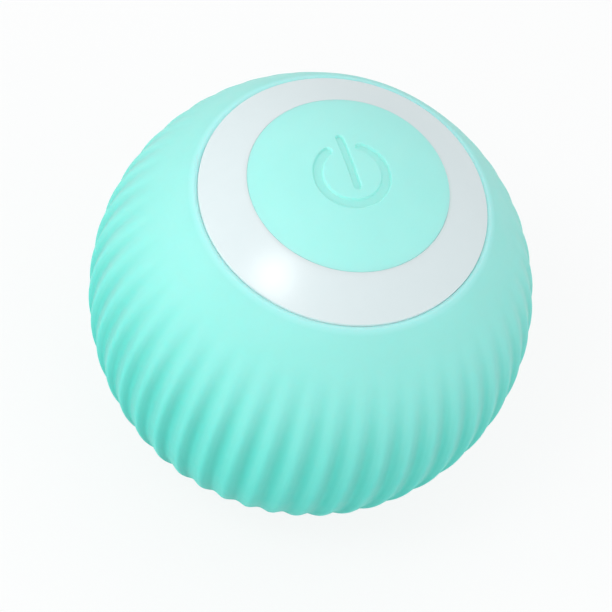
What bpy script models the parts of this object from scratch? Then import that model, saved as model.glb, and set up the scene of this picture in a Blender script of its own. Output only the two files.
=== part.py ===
"""A self rolling cat ball: a fluted silicone sleeve on a hard shell, which turns round a weighted drive.

Metres, +Z up. The ball stands on the flat of its sleeve, its rolling axis along Z and its button on top.
Every level is counted from the ball's centre, which an empty holds at its height above the flat.
"""

import math

import bmesh
import bpy
from mathutils import Matrix, Vector

# Whole ball
BALL_RADIUS = 0.0215
SOLE_FLAT = 0.0015
FIT = 0.0002
RUN = 0.0001
THRUST_PLAY = 0.0003
WELD = 0.000001
OVERRUN = 0.001
EDGE_BREAK = 0.00015
SMOOTH_ANGLE = math.radians(35)
PRESSURE_ANGLE = math.radians(20)
BORE_STEPS = 12
TURNED_STEPS = 24
SHELL_STEPS = 30
DISC_STEPS = 36
CORNER_STEPS = 4
SHORT_ARC_STEPS = 2
ARC_STEPS = 3
DOME_STEPS = 4
LONG_ARC_STEPS = 7

# Top of the ball, a flatter dome than the rest, with a soft shoulder where the two meet
TOP_FLATTENING = 0.0015
TOP_DIP = 0.00017
SHOULDER_END = math.radians(54)

# Silicone sleeve
SLEEVE_WALL = 0.0018
LIP_ROUND = 0.0004
LIP_RISE = 0.00012
FLUTES = 48
STEPS_PER_FLUTE = 2
FLUTE_ARC_STEPS = 6
FALL_ARC_STEPS = 1
SLEEVE_INSIDE_STEPS = 10
FLUTE_DEPTH = 0.00034
FLUTE_CREST_ANGLE = math.radians(-90 + 3.8)
COLLAR_END = math.radians(57)
FLUTES_FULL = math.radians(76)
FLUTES_FALL = math.radians(146)
FLUTES_END = math.radians(157)

# Hard shells
SHELL_WALL = 0.0015
LAP_HEIGHT = 0.0016
LAP_GAP = 0.00015
WEB_THICKNESS = 0.0012
UPPER_BOSS_WALL = 0.0011
UPPER_BOSS_RISE = 0.0016
UPPER_BOSS_DROP = 0.0006
LIGHT_SLOTS = 6
LIGHT_SLOT_WIDTH = 0.0026
LIGHT_INSET = 0.0010
LIGHT_SLOT_ANGLE = math.radians(44)
LOWER_BOSS_WALL = 0.0011
LOWER_BOSS_HEIGHT = 0.0042
RING_SEAT_WALL = 0.0019

# Light ring and button
RING_GAP = 0.0003
RING_WIDTH = 0.00357
RING_WALL = 0.0012
RING_WALL_SHARE = 0.33
CATCH_REACH = 0.0004
CATCH_HEIGHT = 0.0006
BUTTON_GAP = 0.00035
BUTTON_WALL = 0.0012
BUTTON_RIM = 0.0014
BUTTON_SKIRT_WALL = 0.0008
BUTTON_SKIRT_STEP = 0.00025
BUTTON_TRAVEL = 0.0003
STEM_RADIUS = 0.0014

# Bearings, the upper one on the hub and the lower one round the gearbox's hub
JOURNAL_RADIUS = 0.00345
JOURNAL_BORE = 0.0020
BUSHING_WALL = 0.00065
BUSHING_FLANGE = 0.0010
BUSHING_FLANGE_THICKNESS = 0.0006
HUB_RADIUS = 0.0056

# Gearbox, whose floor lies below the ball's centre
GEARBOX_DROP = 0.0109
GEARBOX_HEIGHT = 0.0070
SIDE_PLAY = 0.0003
LOWER_PLATE_ROOM = 0.0009
LOWER_PLATE_THICKNESS = 0.0010
THRUST_RING_WIDTH = 0.0013
FRAME_POST_RADIUS = 0.0014
FRAME_POST_INSET = 0.0023
FRAME_POST_ANGLES = tuple(math.radians(angle) for angle in (65, 160, 245))
PIN_RADIUS = 0.0006

# Gears: module, teeth and the room between flanks
RING_MODULE = 0.0006
RING_TEETH = 42
RING_FACE = 0.0021
RING_RIM = 0.0012
RING_KEYS = 3
RING_KEY_WIDTH = 0.0020
RING_KEY_REACH = 0.0007
FINAL_TEETH = 10
FINAL_FACE = 0.0026
SECOND_MODULE = 0.0005
FINAL_WHEEL_TEETH = 22
FINAL_WHEEL_FACE = 0.0016
IDLER_TEETH = 9
IDLER_FACE = 0.0019
FIRST_MODULE = 0.0004
IDLER_WHEEL_TEETH = 27
IDLER_WHEEL_FACE = 0.0013
MOTOR_TEETH = 8
MOTOR_PINION_FACE = 0.0017
FLANK_ROOM = 0.00008
ADDENDUM_SHARE = 0.9
DEDENDUM_SHARE = 1.15
GEAR_BOSS_RADIUS = 0.0013
IDLER_BEARING_ANGLE = math.radians(37.2)

# Motor and its deck
MOTOR_OFFSET = 0.0086
MOTOR_WIDTH = 0.0120
MOTOR_DEPTH = 0.0100
MOTOR_LENGTH = 0.0084
MOTOR_NOSE_RADIUS = 0.0015
MOTOR_NOSE_LENGTH = 0.0007
MOTOR_CAP_LENGTH = 0.0013
MOTOR_CORNER = 0.0045
MOTOR_CAP_INSET = 0.0004
TERMINAL_SPREAD = 0.0024
TERMINAL_WIDTH = 0.0012
TERMINAL_THICKNESS = 0.0003
TERMINAL_PROUD = 0.0004
SHAFT_RADIUS = 0.0005
SHAFT_BORE_DEPTH = 0.0020
DECK_ROOM = 0.0012
DECK_THICKNESS = 0.0010
NEST_WALL = 0.0010
NEST_HEIGHT = 0.0064
BOARD_POST_RADIUS = 0.0012
BOARD_POST_INSET = 0.0021
BOARD_POST_ANGLES = tuple(math.radians(angle) for angle in (90, 210, 330))
REAR_POST_INSET = 0.0011

# Counterweight
WEIGHT_INNER_RADIUS = 0.0080
WEIGHT_ROOM = 0.0012
WEIGHT_HEIGHT = 0.0090
WEIGHT_STEPS = 10
WEIGHT_HALF_ANGLE = math.radians(47)
WEIGHT_SCREW_RADIUS = 0.0008
WEIGHT_SCREW_INSET = 0.0028
WEIGHT_SCREW_HALF_ANGLE = math.radians(40)

# Battery
BATTERY_WIDTH = 0.0240
BATTERY_DEPTH = 0.0130
BATTERY_HEIGHT = 0.0064
BATTERY_CORNER = 0.0012
TAB_PLACES = ((0.0095, 0.0032), (0.0095, 0.0062))
TAB_WIDTH = 0.0020
TAB_FOOT = 0.0013
TAB_THICKNESS = 0.00025
TAPE_INSET = 0.0020
TAPE_THICKNESS = 0.0004
BATTERY_FENCE_HEIGHT = 0.0024
BATTERY_FENCE_LENGTH = 0.0110
BATTERY_FENCE_WALL = 0.0009

# Light board and what it carries
BOARD_GAP_ABOVE_MOTOR = 0.0004
BOARD_ROOM = 0.0018
BOARD_THICKNESS = 0.0010
LED_COUNT = 6
LED_LENGTH = 0.0035
LED_WIDTH = 0.0028
LED_BODY_HEIGHT = 0.0015
LED_LENS_RADIUS = 0.0011
LED_HEIGHT = 0.0019
CHIP_LENGTH = 0.0060
CHIP_WIDTH = 0.0050
CHIP_HEIGHT = 0.0012
CHIP_OFFSET = (0.0015, 0.0045)
SENSOR_RADIUS = 0.0010
SENSOR_LENGTH = 0.0050
SENSOR_OFFSET = (-0.0070, 0.0040)
SWITCH_SIDE = 0.0034
SWITCH_HEIGHT = 0.0017
SWITCH_FLOOR = 0.0003
PLUNGER_RADIUS = 0.0008
PLUNGER_REACH = 0.0029
HUB_FLANGE_RADIUS = 0.0072
HUB_FLANGE_THICKNESS = 0.0010
HUB_SHOULDER_RADIUS = 0.0050
HUB_SHOULDER_HEIGHT = 0.0019
HUB_POCKET_RADIUS = 0.0027
HUB_POCKET_DEPTH = 0.0021

# Charging end
PORT_CAP_RADIUS = 0.0062
PORT_CAP_GAP = 0.0004
PORT_CAP_RECESS = 0.0004
PORT_CAP_THICKNESS = 0.0008
SOCKET_WIDTH = 0.00894
SOCKET_THICKNESS = 0.00326
SOCKET_WALL = 0.0003
SOCKET_DEPTH = 0.0062
SOCKET_RECESS = 0.0002
TONGUE_WIDTH = 0.0067
TONGUE_THICKNESS = 0.0007
TONGUE_SETBACK = 0.0005
CHARGE_BOARD_LEFT = 0.0072
CHARGE_BOARD_RIGHT = 0.0034
CHARGE_BOARD_DEPTH = 0.0116
CHARGE_CHIP_LENGTH = 0.0049
CHARGE_CHIP_WIDTH = 0.0039
CHARGE_CHIP_HEIGHT = 0.0014
CHARGE_CHIP_OFFSET = 0.0042

# Screws
SCREW_STEPS = 8
SCREW_RADIUS = 0.0006
SCREW_HEAD_RADIUS = 0.0011
SCREW_HEAD_HEIGHT = 0.0006
SCREW_BITE = 0.0030
HUB_SCREW_CIRCLE = 0.00625
HUB_SCREW_HEAD_RADIUS = 0.0008
HUB_SCREW_ANGLES = tuple(math.radians(angle) for angle in (60, 180, 300))

# Sizes that follow from the ones above
BASE_DROP = BALL_RADIUS - SOLE_FLAT
TOP_RADIUS = BALL_RADIUS + TOP_FLATTENING
TOP_DROP = TOP_FLATTENING + TOP_DIP
SOLE_HOLE_RADIUS = PORT_CAP_RADIUS + PORT_CAP_GAP
SLEEVE_INNER = BALL_RADIUS - SLEEVE_WALL
SHELL_OUTER = SLEEVE_INNER - FIT
SHELL_INNER = SHELL_OUTER - SHELL_WALL
BUSHING_INNER = JOURNAL_RADIUS + RUN
BUSHING_OUTER = BUSHING_INNER + BUSHING_WALL
UPPER_BOSS_INNER = BUSHING_OUTER + FIT
UPPER_BOSS_OUTER = UPPER_BOSS_INNER + UPPER_BOSS_WALL
LOWER_BUSHING_INNER = HUB_RADIUS + RUN
LOWER_BUSHING_OUTER = LOWER_BUSHING_INNER + BUSHING_WALL
LOWER_BOSS_INNER = LOWER_BUSHING_OUTER + FIT
LOWER_BOSS_OUTER = LOWER_BOSS_INNER + LOWER_BOSS_WALL


def sphere_height(radius, distance):
    """Height on a sphere of this radius at a distance from its axis."""
    return math.sqrt(radius**2 - distance**2)


def sphere_width(radius, height):
    """Distance from the axis of a sphere's surface at a height."""
    return math.sqrt(radius**2 - height**2)


def top_height(distance):
    """Height on the flatter dome of the ball's top, at a distance from its axis."""
    return sphere_height(TOP_RADIUS, distance) - TOP_DROP


# Levels and the radii that depend on them
LOWER_BOSS_BOTTOM = -sphere_height(SHELL_OUTER, LOWER_BOSS_INNER)
LOWER_BOSS_TOP = LOWER_BOSS_BOTTOM + LOWER_BOSS_HEIGHT
LOWER_FLANGE_BOTTOM = LOWER_BOSS_TOP + FIT
LOWER_FLANGE_TOP = LOWER_FLANGE_BOTTOM + BUSHING_FLANGE_THICKNESS

FLOOR = -GEARBOX_DROP
DECK_BOTTOM = FLOOR + GEARBOX_HEIGHT
DECK_TOP = DECK_BOTTOM + DECK_THICKNESS
FINAL_BOTTOM = FLOOR + SIDE_PLAY
FINAL_WHEEL_BOTTOM = FINAL_BOTTOM + FINAL_FACE
FINAL_WHEEL_TOP = FINAL_WHEEL_BOTTOM + FINAL_WHEEL_FACE
IDLER_WHEEL_BOTTOM = FINAL_WHEEL_TOP + SIDE_PLAY
IDLER_WHEEL_TOP = IDLER_WHEEL_BOTTOM + IDLER_WHEEL_FACE
GEAR_TOP = DECK_BOTTOM - SIDE_PLAY
RING_TOP = FINAL_WHEEL_BOTTOM - SIDE_PLAY
RING_BOTTOM = RING_TOP - RING_FACE
RING_PITCH_RADIUS = RING_MODULE * RING_TEETH / 2
RING_OUTSIDE = RING_PITCH_RADIUS + DEDENDUM_SHARE * RING_MODULE + RING_RIM
MOTOR_BOTTOM = DECK_TOP + FIT
MOTOR_TOP = MOTOR_BOTTOM + MOTOR_LENGTH
MOTOR_CAP_TOP = MOTOR_TOP + FIT + MOTOR_CAP_LENGTH
BOARD_BOTTOM = MOTOR_CAP_TOP + BOARD_GAP_ABOVE_MOTOR
BOARD_TOP = BOARD_BOTTOM + BOARD_THICKNESS
HUB_BOTTOM = BOARD_TOP + FIT
HUB_SHOULDER_TOP = HUB_BOTTOM + HUB_SHOULDER_HEIGHT
UPPER_FLANGE_BOTTOM = HUB_SHOULDER_TOP + THRUST_PLAY
UPPER_FLANGE_TOP = UPPER_FLANGE_BOTTOM + BUSHING_FLANGE_THICKNESS
UPPER_BOSS_BOTTOM = UPPER_FLANGE_TOP + FIT
WEB_BOTTOM = UPPER_BOSS_BOTTOM + UPPER_BOSS_DROP
WEB_TOP = WEB_BOTTOM + WEB_THICKNESS
UPPER_BOSS_TOP = WEB_TOP + UPPER_BOSS_RISE
WINDOW_RADIUS = sphere_width(SHELL_OUTER, WEB_TOP)
RING_OUTER_RADIUS = WINDOW_RADIUS - RING_GAP
RING_INNER_RADIUS = RING_OUTER_RADIUS - RING_WIDTH
LIGHT_CIRCLE = RING_INNER_RADIUS + LIGHT_INSET
BUTTON_RADIUS = RING_INNER_RADIUS - BUTTON_GAP
SKIRT_OUTER = BUTTON_RADIUS - BUTTON_SKIRT_STEP
SWITCH_BOTTOM = BOARD_TOP + FIT
SWITCH_TOP = SWITCH_BOTTOM + SWITCH_HEIGHT
PLUNGER_TOP = SWITCH_TOP + PLUNGER_REACH
PORT_CAP_BOTTOM = PORT_CAP_RECESS - BASE_DROP
PORT_CAP_TOP = PORT_CAP_BOTTOM + PORT_CAP_THICKNESS
HUB_END = PORT_CAP_TOP + FIT
SOCKET_MOUTH = PORT_CAP_BOTTOM + SOCKET_RECESS
CHARGE_BOARD_BOTTOM = FLOOR + FIT
CHARGE_BOARD_TOP = CHARGE_BOARD_BOTTOM + BOARD_THICKNESS
TAPE_BOTTOM = DECK_TOP + FIT
BATTERY_BOTTOM = TAPE_BOTTOM + TAPE_THICKNESS + FIT
BATTERY_TOP = BATTERY_BOTTOM + BATTERY_HEIGHT
BATTERY_FRONT = NEST_WALL + FIT + MOTOR_DEPTH / 2 + FIT - MOTOR_OFFSET
WEIGHT_BOTTOM = DECK_TOP + FIT
WEIGHT_TOP = WEIGHT_BOTTOM + WEIGHT_HEIGHT
LOWER_PLATE_RADIUS = RING_OUTSIDE + FIT - RING_SEAT_WALL - LOWER_PLATE_ROOM
DECK_RADIUS = sphere_width(SHELL_INNER, DECK_BOTTOM) - DECK_ROOM
WEIGHT_OUTER_RADIUS = sphere_width(SHELL_INNER, WEIGHT_TOP) - WEIGHT_ROOM
WEIGHT_SCREW_CIRCLE = WEIGHT_OUTER_RADIUS - WEIGHT_SCREW_INSET
BOARD_RADIUS = sphere_width(SHELL_INNER, BOARD_TOP) - BOARD_ROOM
BOARD_POST_CIRCLE = BOARD_RADIUS - BOARD_POST_INSET
REAR_POST_CIRCLE = BOARD_RADIUS - REAR_POST_INSET
FRAME_POST_CIRCLE = LOWER_PLATE_RADIUS - FRAME_POST_INSET

# Axle places, stepped from the motor to the ring gear by the gears' centre distances
FIRST_DISTANCE = FIRST_MODULE * (MOTOR_TEETH + IDLER_WHEEL_TEETH) / 2
SECOND_DISTANCE = SECOND_MODULE * (IDLER_TEETH + FINAL_WHEEL_TEETH) / 2
FINAL_DISTANCE = RING_MODULE * (RING_TEETH - FINAL_TEETH) / 2
MOTOR_AXIS = Vector((0, -MOTOR_OFFSET))
IDLER_WAY = Vector((math.cos(IDLER_BEARING_ANGLE), math.sin(IDLER_BEARING_ANGLE)))
IDLER_AXIS = MOTOR_AXIS + FIRST_DISTANCE * IDLER_WAY


def crossing(first, first_radius, second, second_radius):
    """The point at these distances from two points, on the left of the way from first to second."""
    along = second - first
    reach = (along.length_squared + first_radius**2 - second_radius**2) / (2 * along.length)
    off = math.sqrt(first_radius**2 - reach**2)
    direction = along.normalized()
    return first + reach * direction + off * Vector((-direction.y, direction.x))


FINAL_AXIS = crossing(Vector((0, 0)), FINAL_DISTANCE, IDLER_AXIS, SECOND_DISTANCE)

# Finishes: linear colour, roughness and whether it is metal
MINT = ((0.40, 0.86, 0.78), 0.5, 0)
RING_WHITE = ((0.84, 0.88, 0.88), 0.3, 0)
SHELL_WHITE = ((0.80, 0.82, 0.82), 0.45, 0)
BUSHING_GREY = ((0.55, 0.56, 0.57), 0.35, 0)
GEAR_WHITE = ((0.88, 0.87, 0.82), 0.4, 0)
FRAME_GREY = ((0.20, 0.21, 0.22), 0.45, 0)
BOARD_GREEN = ((0.02, 0.14, 0.06), 0.4, 0)
CHIP_BLACK = ((0.015, 0.015, 0.017), 0.5, 0)
STEEL = ((0.62, 0.63, 0.65), 0.3, 1)
BRASS = ((0.78, 0.60, 0.26), 0.35, 1)
BATTERY_SILVER = ((0.55, 0.57, 0.60), 0.3, 0)
TAPE_BLUE = ((0.08, 0.22, 0.50), 0.8, 0)


def clear_scene():
    for item in list(bpy.data.objects):
        bpy.data.objects.remove(item, do_unlink=True)


def empty(name, parent, place):
    """A guide that pieces hang from, with its place counted from its parent."""
    guide = bpy.data.objects.new(name, None)
    bpy.context.scene.collection.objects.link(guide)
    guide.parent = parent
    guide.location = place
    return guide


def finish(name, colour, roughness, metallic):
    material = bpy.data.materials.new(name)
    material.use_nodes = True
    shader = material.node_tree.nodes["Principled BSDF"]
    shader.inputs["Base Color"].default_value = (*colour, 1)
    shader.inputs["Roughness"].default_value = roughness
    shader.inputs["Metallic"].default_value = metallic
    return material


def piece(name, shape, parent, look):
    """Links a mesh as a named piece with its own material, round surfaces smooth."""
    mesh = bpy.data.meshes.new(name)
    shape.to_mesh(mesh)
    shape.free()
    mesh.shade_smooth()
    mesh.set_sharp_from_angle(angle=SMOOTH_ANGLE)
    mesh.materials.append(finish(name, *look))
    made = bpy.data.objects.new(name, mesh)
    bpy.context.scene.collection.objects.link(made)
    made.parent = parent
    return made


def boolean(target, shape, operation, parent):
    """Cuts a shape from a piece, or joins it on, and keeps the tool as a wire guide."""
    tool = bpy.data.objects.new(target.name + "_" + operation.lower(), bpy.data.meshes.new(target.name))
    shape.to_mesh(tool.data)
    shape.free()
    bpy.context.scene.collection.objects.link(tool)
    tool.parent = parent
    tool.hide_render = True
    tool.display_type = "WIRE"
    step = target.modifiers.new(operation.title(), "BOOLEAN")
    step.operation = operation
    step.solver = "EXACT"
    step.object = tool


def cut(target, shape, parent):
    boolean(target, shape, "DIFFERENCE", parent)


def join(target, shape, parent):
    boolean(target, shape, "UNION", parent)


def polar(radius, angle):
    return Vector((radius * math.cos(angle), radius * math.sin(angle)))


def sphere_arc(radius, start, end, steps):
    """Profile points (distance from the axis, height) on a sphere, between two angles from the pole."""
    angles = [start + (end - start) * step / steps for step in range(steps + 1)]
    return [(radius * math.sin(angle), radius * math.cos(angle)) for angle in angles]


def top_arc(depth, start, end, steps):
    """Profile points under the top dome at this depth, between two distances from the axis."""
    radius = TOP_RADIUS - depth
    points = sphere_arc(radius, angle_at(radius, start), angle_at(radius, end), steps)
    return [(distance, height - TOP_DROP) for distance, height in points]


def angle_at(radius, distance):
    """The angle from the pole at which a sphere is this far from its axis."""
    return math.asin(distance / radius)


def spin_profile(shape, profile, steps, closed):
    """Turns a profile about Z, in the given bmesh."""
    points = [shape.verts.new((distance, 0, height)) for distance, height in profile]
    pairs = list(zip(points, points[1:]))
    if closed:
        pairs.append((points[-1], points[0]))
    edges = [shape.edges.new(pair) for pair in pairs]
    bmesh.ops.spin(
        shape,
        geom=points + edges,
        axis=(0, 0, 1),
        cent=(0, 0, 0),
        steps=steps,
        angle=math.tau,
        use_merge=True,
    )
    bmesh.ops.remove_doubles(shape, verts=shape.verts[:], dist=WELD)
    bmesh.ops.recalc_face_normals(shape, faces=shape.faces[:])


def turned(profile, steps=TURNED_STEPS):
    """A solid of revolution. A profile that starts and ends on the axis is left open there."""
    shape = bmesh.new()
    on_axis = profile[0][0] == 0 and profile[-1][0] == 0
    spin_profile(shape, profile, steps, closed=not on_axis)
    return shape


def prism(outline, low, high):
    """An upright solid with this outline, between two levels."""
    shape = bmesh.new()
    face = shape.faces.new([shape.verts.new((x, y, low)) for x, y in outline])
    raised = bmesh.ops.extrude_face_region(shape, geom=[face])
    top = [item for item in raised["geom"] if isinstance(item, bmesh.types.BMVert)]
    bmesh.ops.translate(shape, verts=top, vec=(0, 0, high - low))
    bmesh.ops.recalc_face_normals(shape, faces=shape.faces[:])
    return shape


def merged(*shapes):
    """Several shapes in one bmesh."""
    whole = shapes[0]
    for shape in shapes[1:]:
        carrier = bpy.data.meshes.new("carrier")
        shape.to_mesh(carrier)
        shape.free()
        whole.from_mesh(carrier)
        bpy.data.meshes.remove(carrier)
    return whole


def moved(shape, place):
    bmesh.ops.translate(shape, verts=shape.verts[:], vec=place)
    return shape


def circle(radius, steps, centre=(0, 0)):
    middle = Vector(centre)
    return [middle + polar(radius, math.tau * step / steps) for step in range(steps)]


def rod(radius, low, high, centre=(0, 0), steps=BORE_STEPS):
    return prism(circle(radius, steps, centre), low, high)


def rounded_rectangle(width, depth, corner, steps, centre=(0, 0)):
    """An outline with quarter-round corners. A corner of half the depth makes it a stadium."""
    points = []
    for quarter in range(4):
        middle = Vector(
            (
                (width / 2 - corner) * (1 if quarter in (0, 3) else -1),
                (depth / 2 - corner) * (1 if quarter in (0, 1) else -1),
            )
        )
        for step in range(steps + 1):
            turn = math.pi / 2 * (quarter + step / steps)
            points.append(Vector(centre) + middle + polar(corner, turn))
    shape = bmesh.new()
    corners = [shape.verts.new((x, y, 0)) for x, y in points]
    shape.faces.new(corners)
    bmesh.ops.remove_doubles(shape, verts=shape.verts[:], dist=WELD)
    outline = [Vector((corner.co.x, corner.co.y)) for corner in shape.faces[:][0].verts]
    shape.free()
    return outline


def block(width, depth, low, high, centre=(0, 0)):
    x, y = centre
    outline = [
        (x - width / 2, y - depth / 2),
        (x + width / 2, y - depth / 2),
        (x + width / 2, y + depth / 2),
        (x - width / 2, y + depth / 2),
    ]
    return prism(outline, low, high)


def sector(inner, outer, start, end, steps):
    """The outline of a piece of a ring."""
    angles = [start + (end - start) * step / steps for step in range(steps + 1)]
    return [polar(outer, angle) for angle in angles] + [polar(inner, angle) for angle in reversed(angles)]


def fade(angle, start, end):
    """0 before start, 1 after end, and smooth between."""
    share = min(max((angle - start) / (end - start), 0), 1)
    return share * share * (3 - 2 * share)


def flute_cut(point):
    """How far the sleeve's surface lies below its ridges at a point. One of its grooves is at angle zero."""
    down = math.atan2(math.hypot(point.x, point.y), point.z)
    strength = fade(down, COLLAR_END, FLUTES_FULL) * (1 - fade(down, FLUTES_FALL, FLUTES_END))
    around = math.atan2(point.y, point.x)
    return FLUTE_DEPTH * strength * (1 + math.cos(FLUTES * around)) / 2


def collar_profile():
    """The smooth collar from the lip, over the shoulder, to where the flutes begin."""
    lip = (WINDOW_RADIUS + LIP_ROUND, top_height(WINDOW_RADIUS + LIP_ROUND) + LIP_RISE)
    lip_angle = math.atan2(*lip)
    shoulder = math.hypot(*lip) / BALL_RADIUS - 1
    profile = []
    for distance, height in sphere_arc(BALL_RADIUS, lip_angle, COLLAR_END, ARC_STEPS):
        share = 1 - fade(math.atan2(distance, height), lip_angle, SHOULDER_END)
        profile.append((distance * (1 + shoulder * share), height * (1 + shoulder * share)))
    return profile


def open_rim(shape, above):
    """The corners of a sheet's upper or lower open rim, in turn about Z."""
    rim = [vert for vert in shape.verts if vert.is_boundary and (vert.co.z > 0) == above]
    return sorted(rim, key=lambda vert: math.atan2(vert.co.y, vert.co.x))


def stitch(shape, fine, coarse):
    """Joins a fine rim to a coarse one whose corners are evenly shared out among it."""
    share = len(fine) // len(coarse)
    for index, corner in enumerate(coarse):
        following = coarse[(index + 1) % len(coarse)]
        run = [fine[(index * share + step) % len(fine)] for step in range(share + 1)]
        half = share // 2
        for first, second in zip(run[: half + 1], run[1 : half + 1]):
            shape.faces.new((corner, first, second))
        shape.faces.new((corner, run[half], following))
        for first, second in zip(run[half:], run[half + 1 :]):
            shape.faces.new((following, first, second))


def sleeve_outside():
    """The fluted outside from the window's lip down to the flat it stands on."""
    sole_angle = math.acos(-BASE_DROP / BALL_RADIUS)
    collar = collar_profile()
    rise = sphere_arc(BALL_RADIUS, COLLAR_END, FLUTES_FULL, SHORT_ARC_STEPS)
    full = sphere_arc(BALL_RADIUS, FLUTES_FULL, FLUTES_FALL, FLUTE_ARC_STEPS)
    fall = sphere_arc(BALL_RADIUS, FLUTES_FALL, sole_angle, FALL_ARC_STEPS)
    lip = [(WINDOW_RADIUS, collar[0][1] - LIP_ROUND / 2)]
    profile = lip + collar + rise[1:] + full[1:] + fall[1:]
    shape = bmesh.new()
    spin_profile(shape, profile, FLUTES * STEPS_PER_FLUTE, closed=False)
    for vert in shape.verts:
        vert.co -= vert.co.normalized() * flute_cut(vert.co)
    return shape


def sleeve_inside():
    """The smooth inside, which hugs the shells."""
    window = angle_at(SLEEVE_INNER, WINDOW_RADIUS)
    sole = math.pi - angle_at(SLEEVE_INNER, SOLE_HOLE_RADIUS)
    profile = sphere_arc(SLEEVE_INNER, window, sole, SLEEVE_INSIDE_STEPS) + [(SOLE_HOLE_RADIUS, -BASE_DROP)]
    shape = bmesh.new()
    spin_profile(shape, profile, FLUTES, closed=False)
    return shape


def silicone_sleeve(parent):
    outside = sleeve_outside()
    inside = sleeve_inside()
    corners = len(outside.verts)
    shape = merged(outside, inside)
    shape.verts.index_update()
    for above in (True, False):
        rim = open_rim(shape, above)
        fine = [vert for vert in rim if vert.index < corners]
        coarse = [vert for vert in rim if vert.index >= corners]
        stitch(shape, fine, coarse)
    bmesh.ops.recalc_face_normals(shape, faces=shape.faces[:])
    turn = Matrix.Rotation(FLUTE_CREST_ANGLE + math.pi / FLUTES, 3, "Z")
    bmesh.ops.rotate(shape, verts=shape.verts[:], cent=(0, 0, 0), matrix=turn)
    return piece("silicone_sleeve", shape, parent, MINT)


def upper_shell(parent):
    """The upper half: a dome whose flat web carries the light ring and the upper bearing."""
    rim = SHELL_INNER + SHELL_WALL / 2 + LAP_GAP
    step = LAP_HEIGHT + 2 * LAP_GAP
    window = angle_at(SHELL_OUTER, WINDOW_RADIUS)
    outside = sphere_arc(SHELL_OUTER, math.acos(LAP_GAP / SHELL_OUTER), window, DOME_STEPS)
    web = math.acos(WEB_BOTTOM / SHELL_INNER)
    inside = sphere_arc(SHELL_INNER, web, math.acos(step / SHELL_INNER), ARC_STEPS)
    boss = [
        (UPPER_BOSS_OUTER, WEB_TOP),
        (UPPER_BOSS_OUTER, UPPER_BOSS_TOP),
        (UPPER_BOSS_INNER, UPPER_BOSS_TOP),
        (UPPER_BOSS_INNER, UPPER_BOSS_BOTTOM),
        (UPPER_BOSS_OUTER, UPPER_BOSS_BOTTOM),
        (UPPER_BOSS_OUTER, WEB_BOTTOM),
    ]
    profile = outside + boss + inside + [(rim, step), (rim, LAP_GAP)]
    made = piece("upper_shell", turned(profile, SHELL_STEPS), parent, SHELL_WHITE)
    slots = []
    for index in range(LIGHT_SLOTS):
        middle = math.tau * (index + 0.5) / LIGHT_SLOTS
        outline = sector(
            LIGHT_CIRCLE - LIGHT_SLOT_WIDTH / 2,
            LIGHT_CIRCLE + LIGHT_SLOT_WIDTH / 2,
            middle - LIGHT_SLOT_ANGLE / 2,
            middle + LIGHT_SLOT_ANGLE / 2,
            CORNER_STEPS,
        )
        slots.append(prism(outline, WEB_BOTTOM - OVERRUN, WEB_TOP + OVERRUN))
    cut(made, merged(*slots), parent)
    return made


def ring_keys(extra):
    """The ring gear's keys, or with some extra the notches they sit in."""
    keys = []
    for index in range(RING_KEYS):
        key = block(
            RING_KEY_REACH * 2 + extra * 2,
            RING_KEY_WIDTH + extra * 2,
            RING_BOTTOM - (OVERRUN if extra else 0),
            RING_TOP + (OVERRUN if extra else 0),
            (RING_OUTSIDE, 0),
        )
        turn = Matrix.Rotation(math.tau * index / RING_KEYS, 3, "Z")
        bmesh.ops.rotate(key, verts=key.verts[:], cent=(0, 0, 0), matrix=turn)
        keys.append(key)
    return merged(*keys)


def lower_shell(parent):
    """The lower half: it laps into the upper one, and holds the ring gear and the lower bearing."""
    tongue = SHELL_INNER + SHELL_WALL / 2
    seat = RING_OUTSIDE + FIT
    seat_floor = RING_BOTTOM - FIT
    ledge_foot = -sphere_height(SHELL_INNER, seat - RING_SEAT_WALL)
    lap = math.acos(LAP_HEIGHT / SHELL_INNER)
    inside = sphere_arc(SHELL_INNER, lap, math.acos(RING_TOP / SHELL_INNER), ARC_STEPS)
    boss = math.pi - angle_at(SHELL_INNER, LOWER_BOSS_OUTER)
    below = sphere_arc(SHELL_INNER, math.acos(ledge_foot / SHELL_INNER), boss, SHORT_ARC_STEPS)
    pole = math.pi - angle_at(SHELL_OUTER, LOWER_BOSS_INNER)
    outside = sphere_arc(SHELL_OUTER, pole, math.pi / 2, LONG_ARC_STEPS)
    profile = (
        [(tongue, LAP_HEIGHT)]
        + inside
        + [(seat, RING_TOP), (seat, seat_floor), (seat - RING_SEAT_WALL, seat_floor)]
        + below
        + [(LOWER_BOSS_OUTER, LOWER_BOSS_TOP), (LOWER_BOSS_INNER, LOWER_BOSS_TOP)]
        + outside
        + [(tongue, 0)]
    )
    made = piece("lower_shell", turned(profile, SHELL_STEPS), parent, SHELL_WHITE)
    cut(made, ring_keys(FIT), parent)
    return made


def light_ring(parent):
    """The milky ring between sleeve and button, hollow below, with a catch for the button."""
    bottom = WEB_TOP + FIT
    wall = RING_WALL_SHARE * RING_WIDTH
    outer_wall = RING_OUTER_RADIUS - wall
    inner_wall = RING_INNER_RADIUS + wall
    catch = SKIRT_OUTER + FIT
    catch_low = bottom + BUTTON_TRAVEL + CATCH_HEIGHT + 3 * FIT
    top = top_arc(0, RING_OUTER_RADIUS, RING_INNER_RADIUS, ARC_STEPS)
    under = top_arc(RING_WALL, inner_wall, outer_wall, SHORT_ARC_STEPS)
    guide = [
        (RING_INNER_RADIUS, catch_low + 2 * CATCH_HEIGHT),
        (catch, catch_low + CATCH_HEIGHT),
        (catch, catch_low),
        (RING_INNER_RADIUS, catch_low),
        (RING_INNER_RADIUS, bottom),
        (inner_wall, bottom),
    ]
    profile = [(RING_OUTER_RADIUS, bottom)] + top + guide + under + [(outer_wall, bottom)]
    return piece("light_ring", turned(profile, DISC_STEPS), parent, RING_WHITE)


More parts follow.
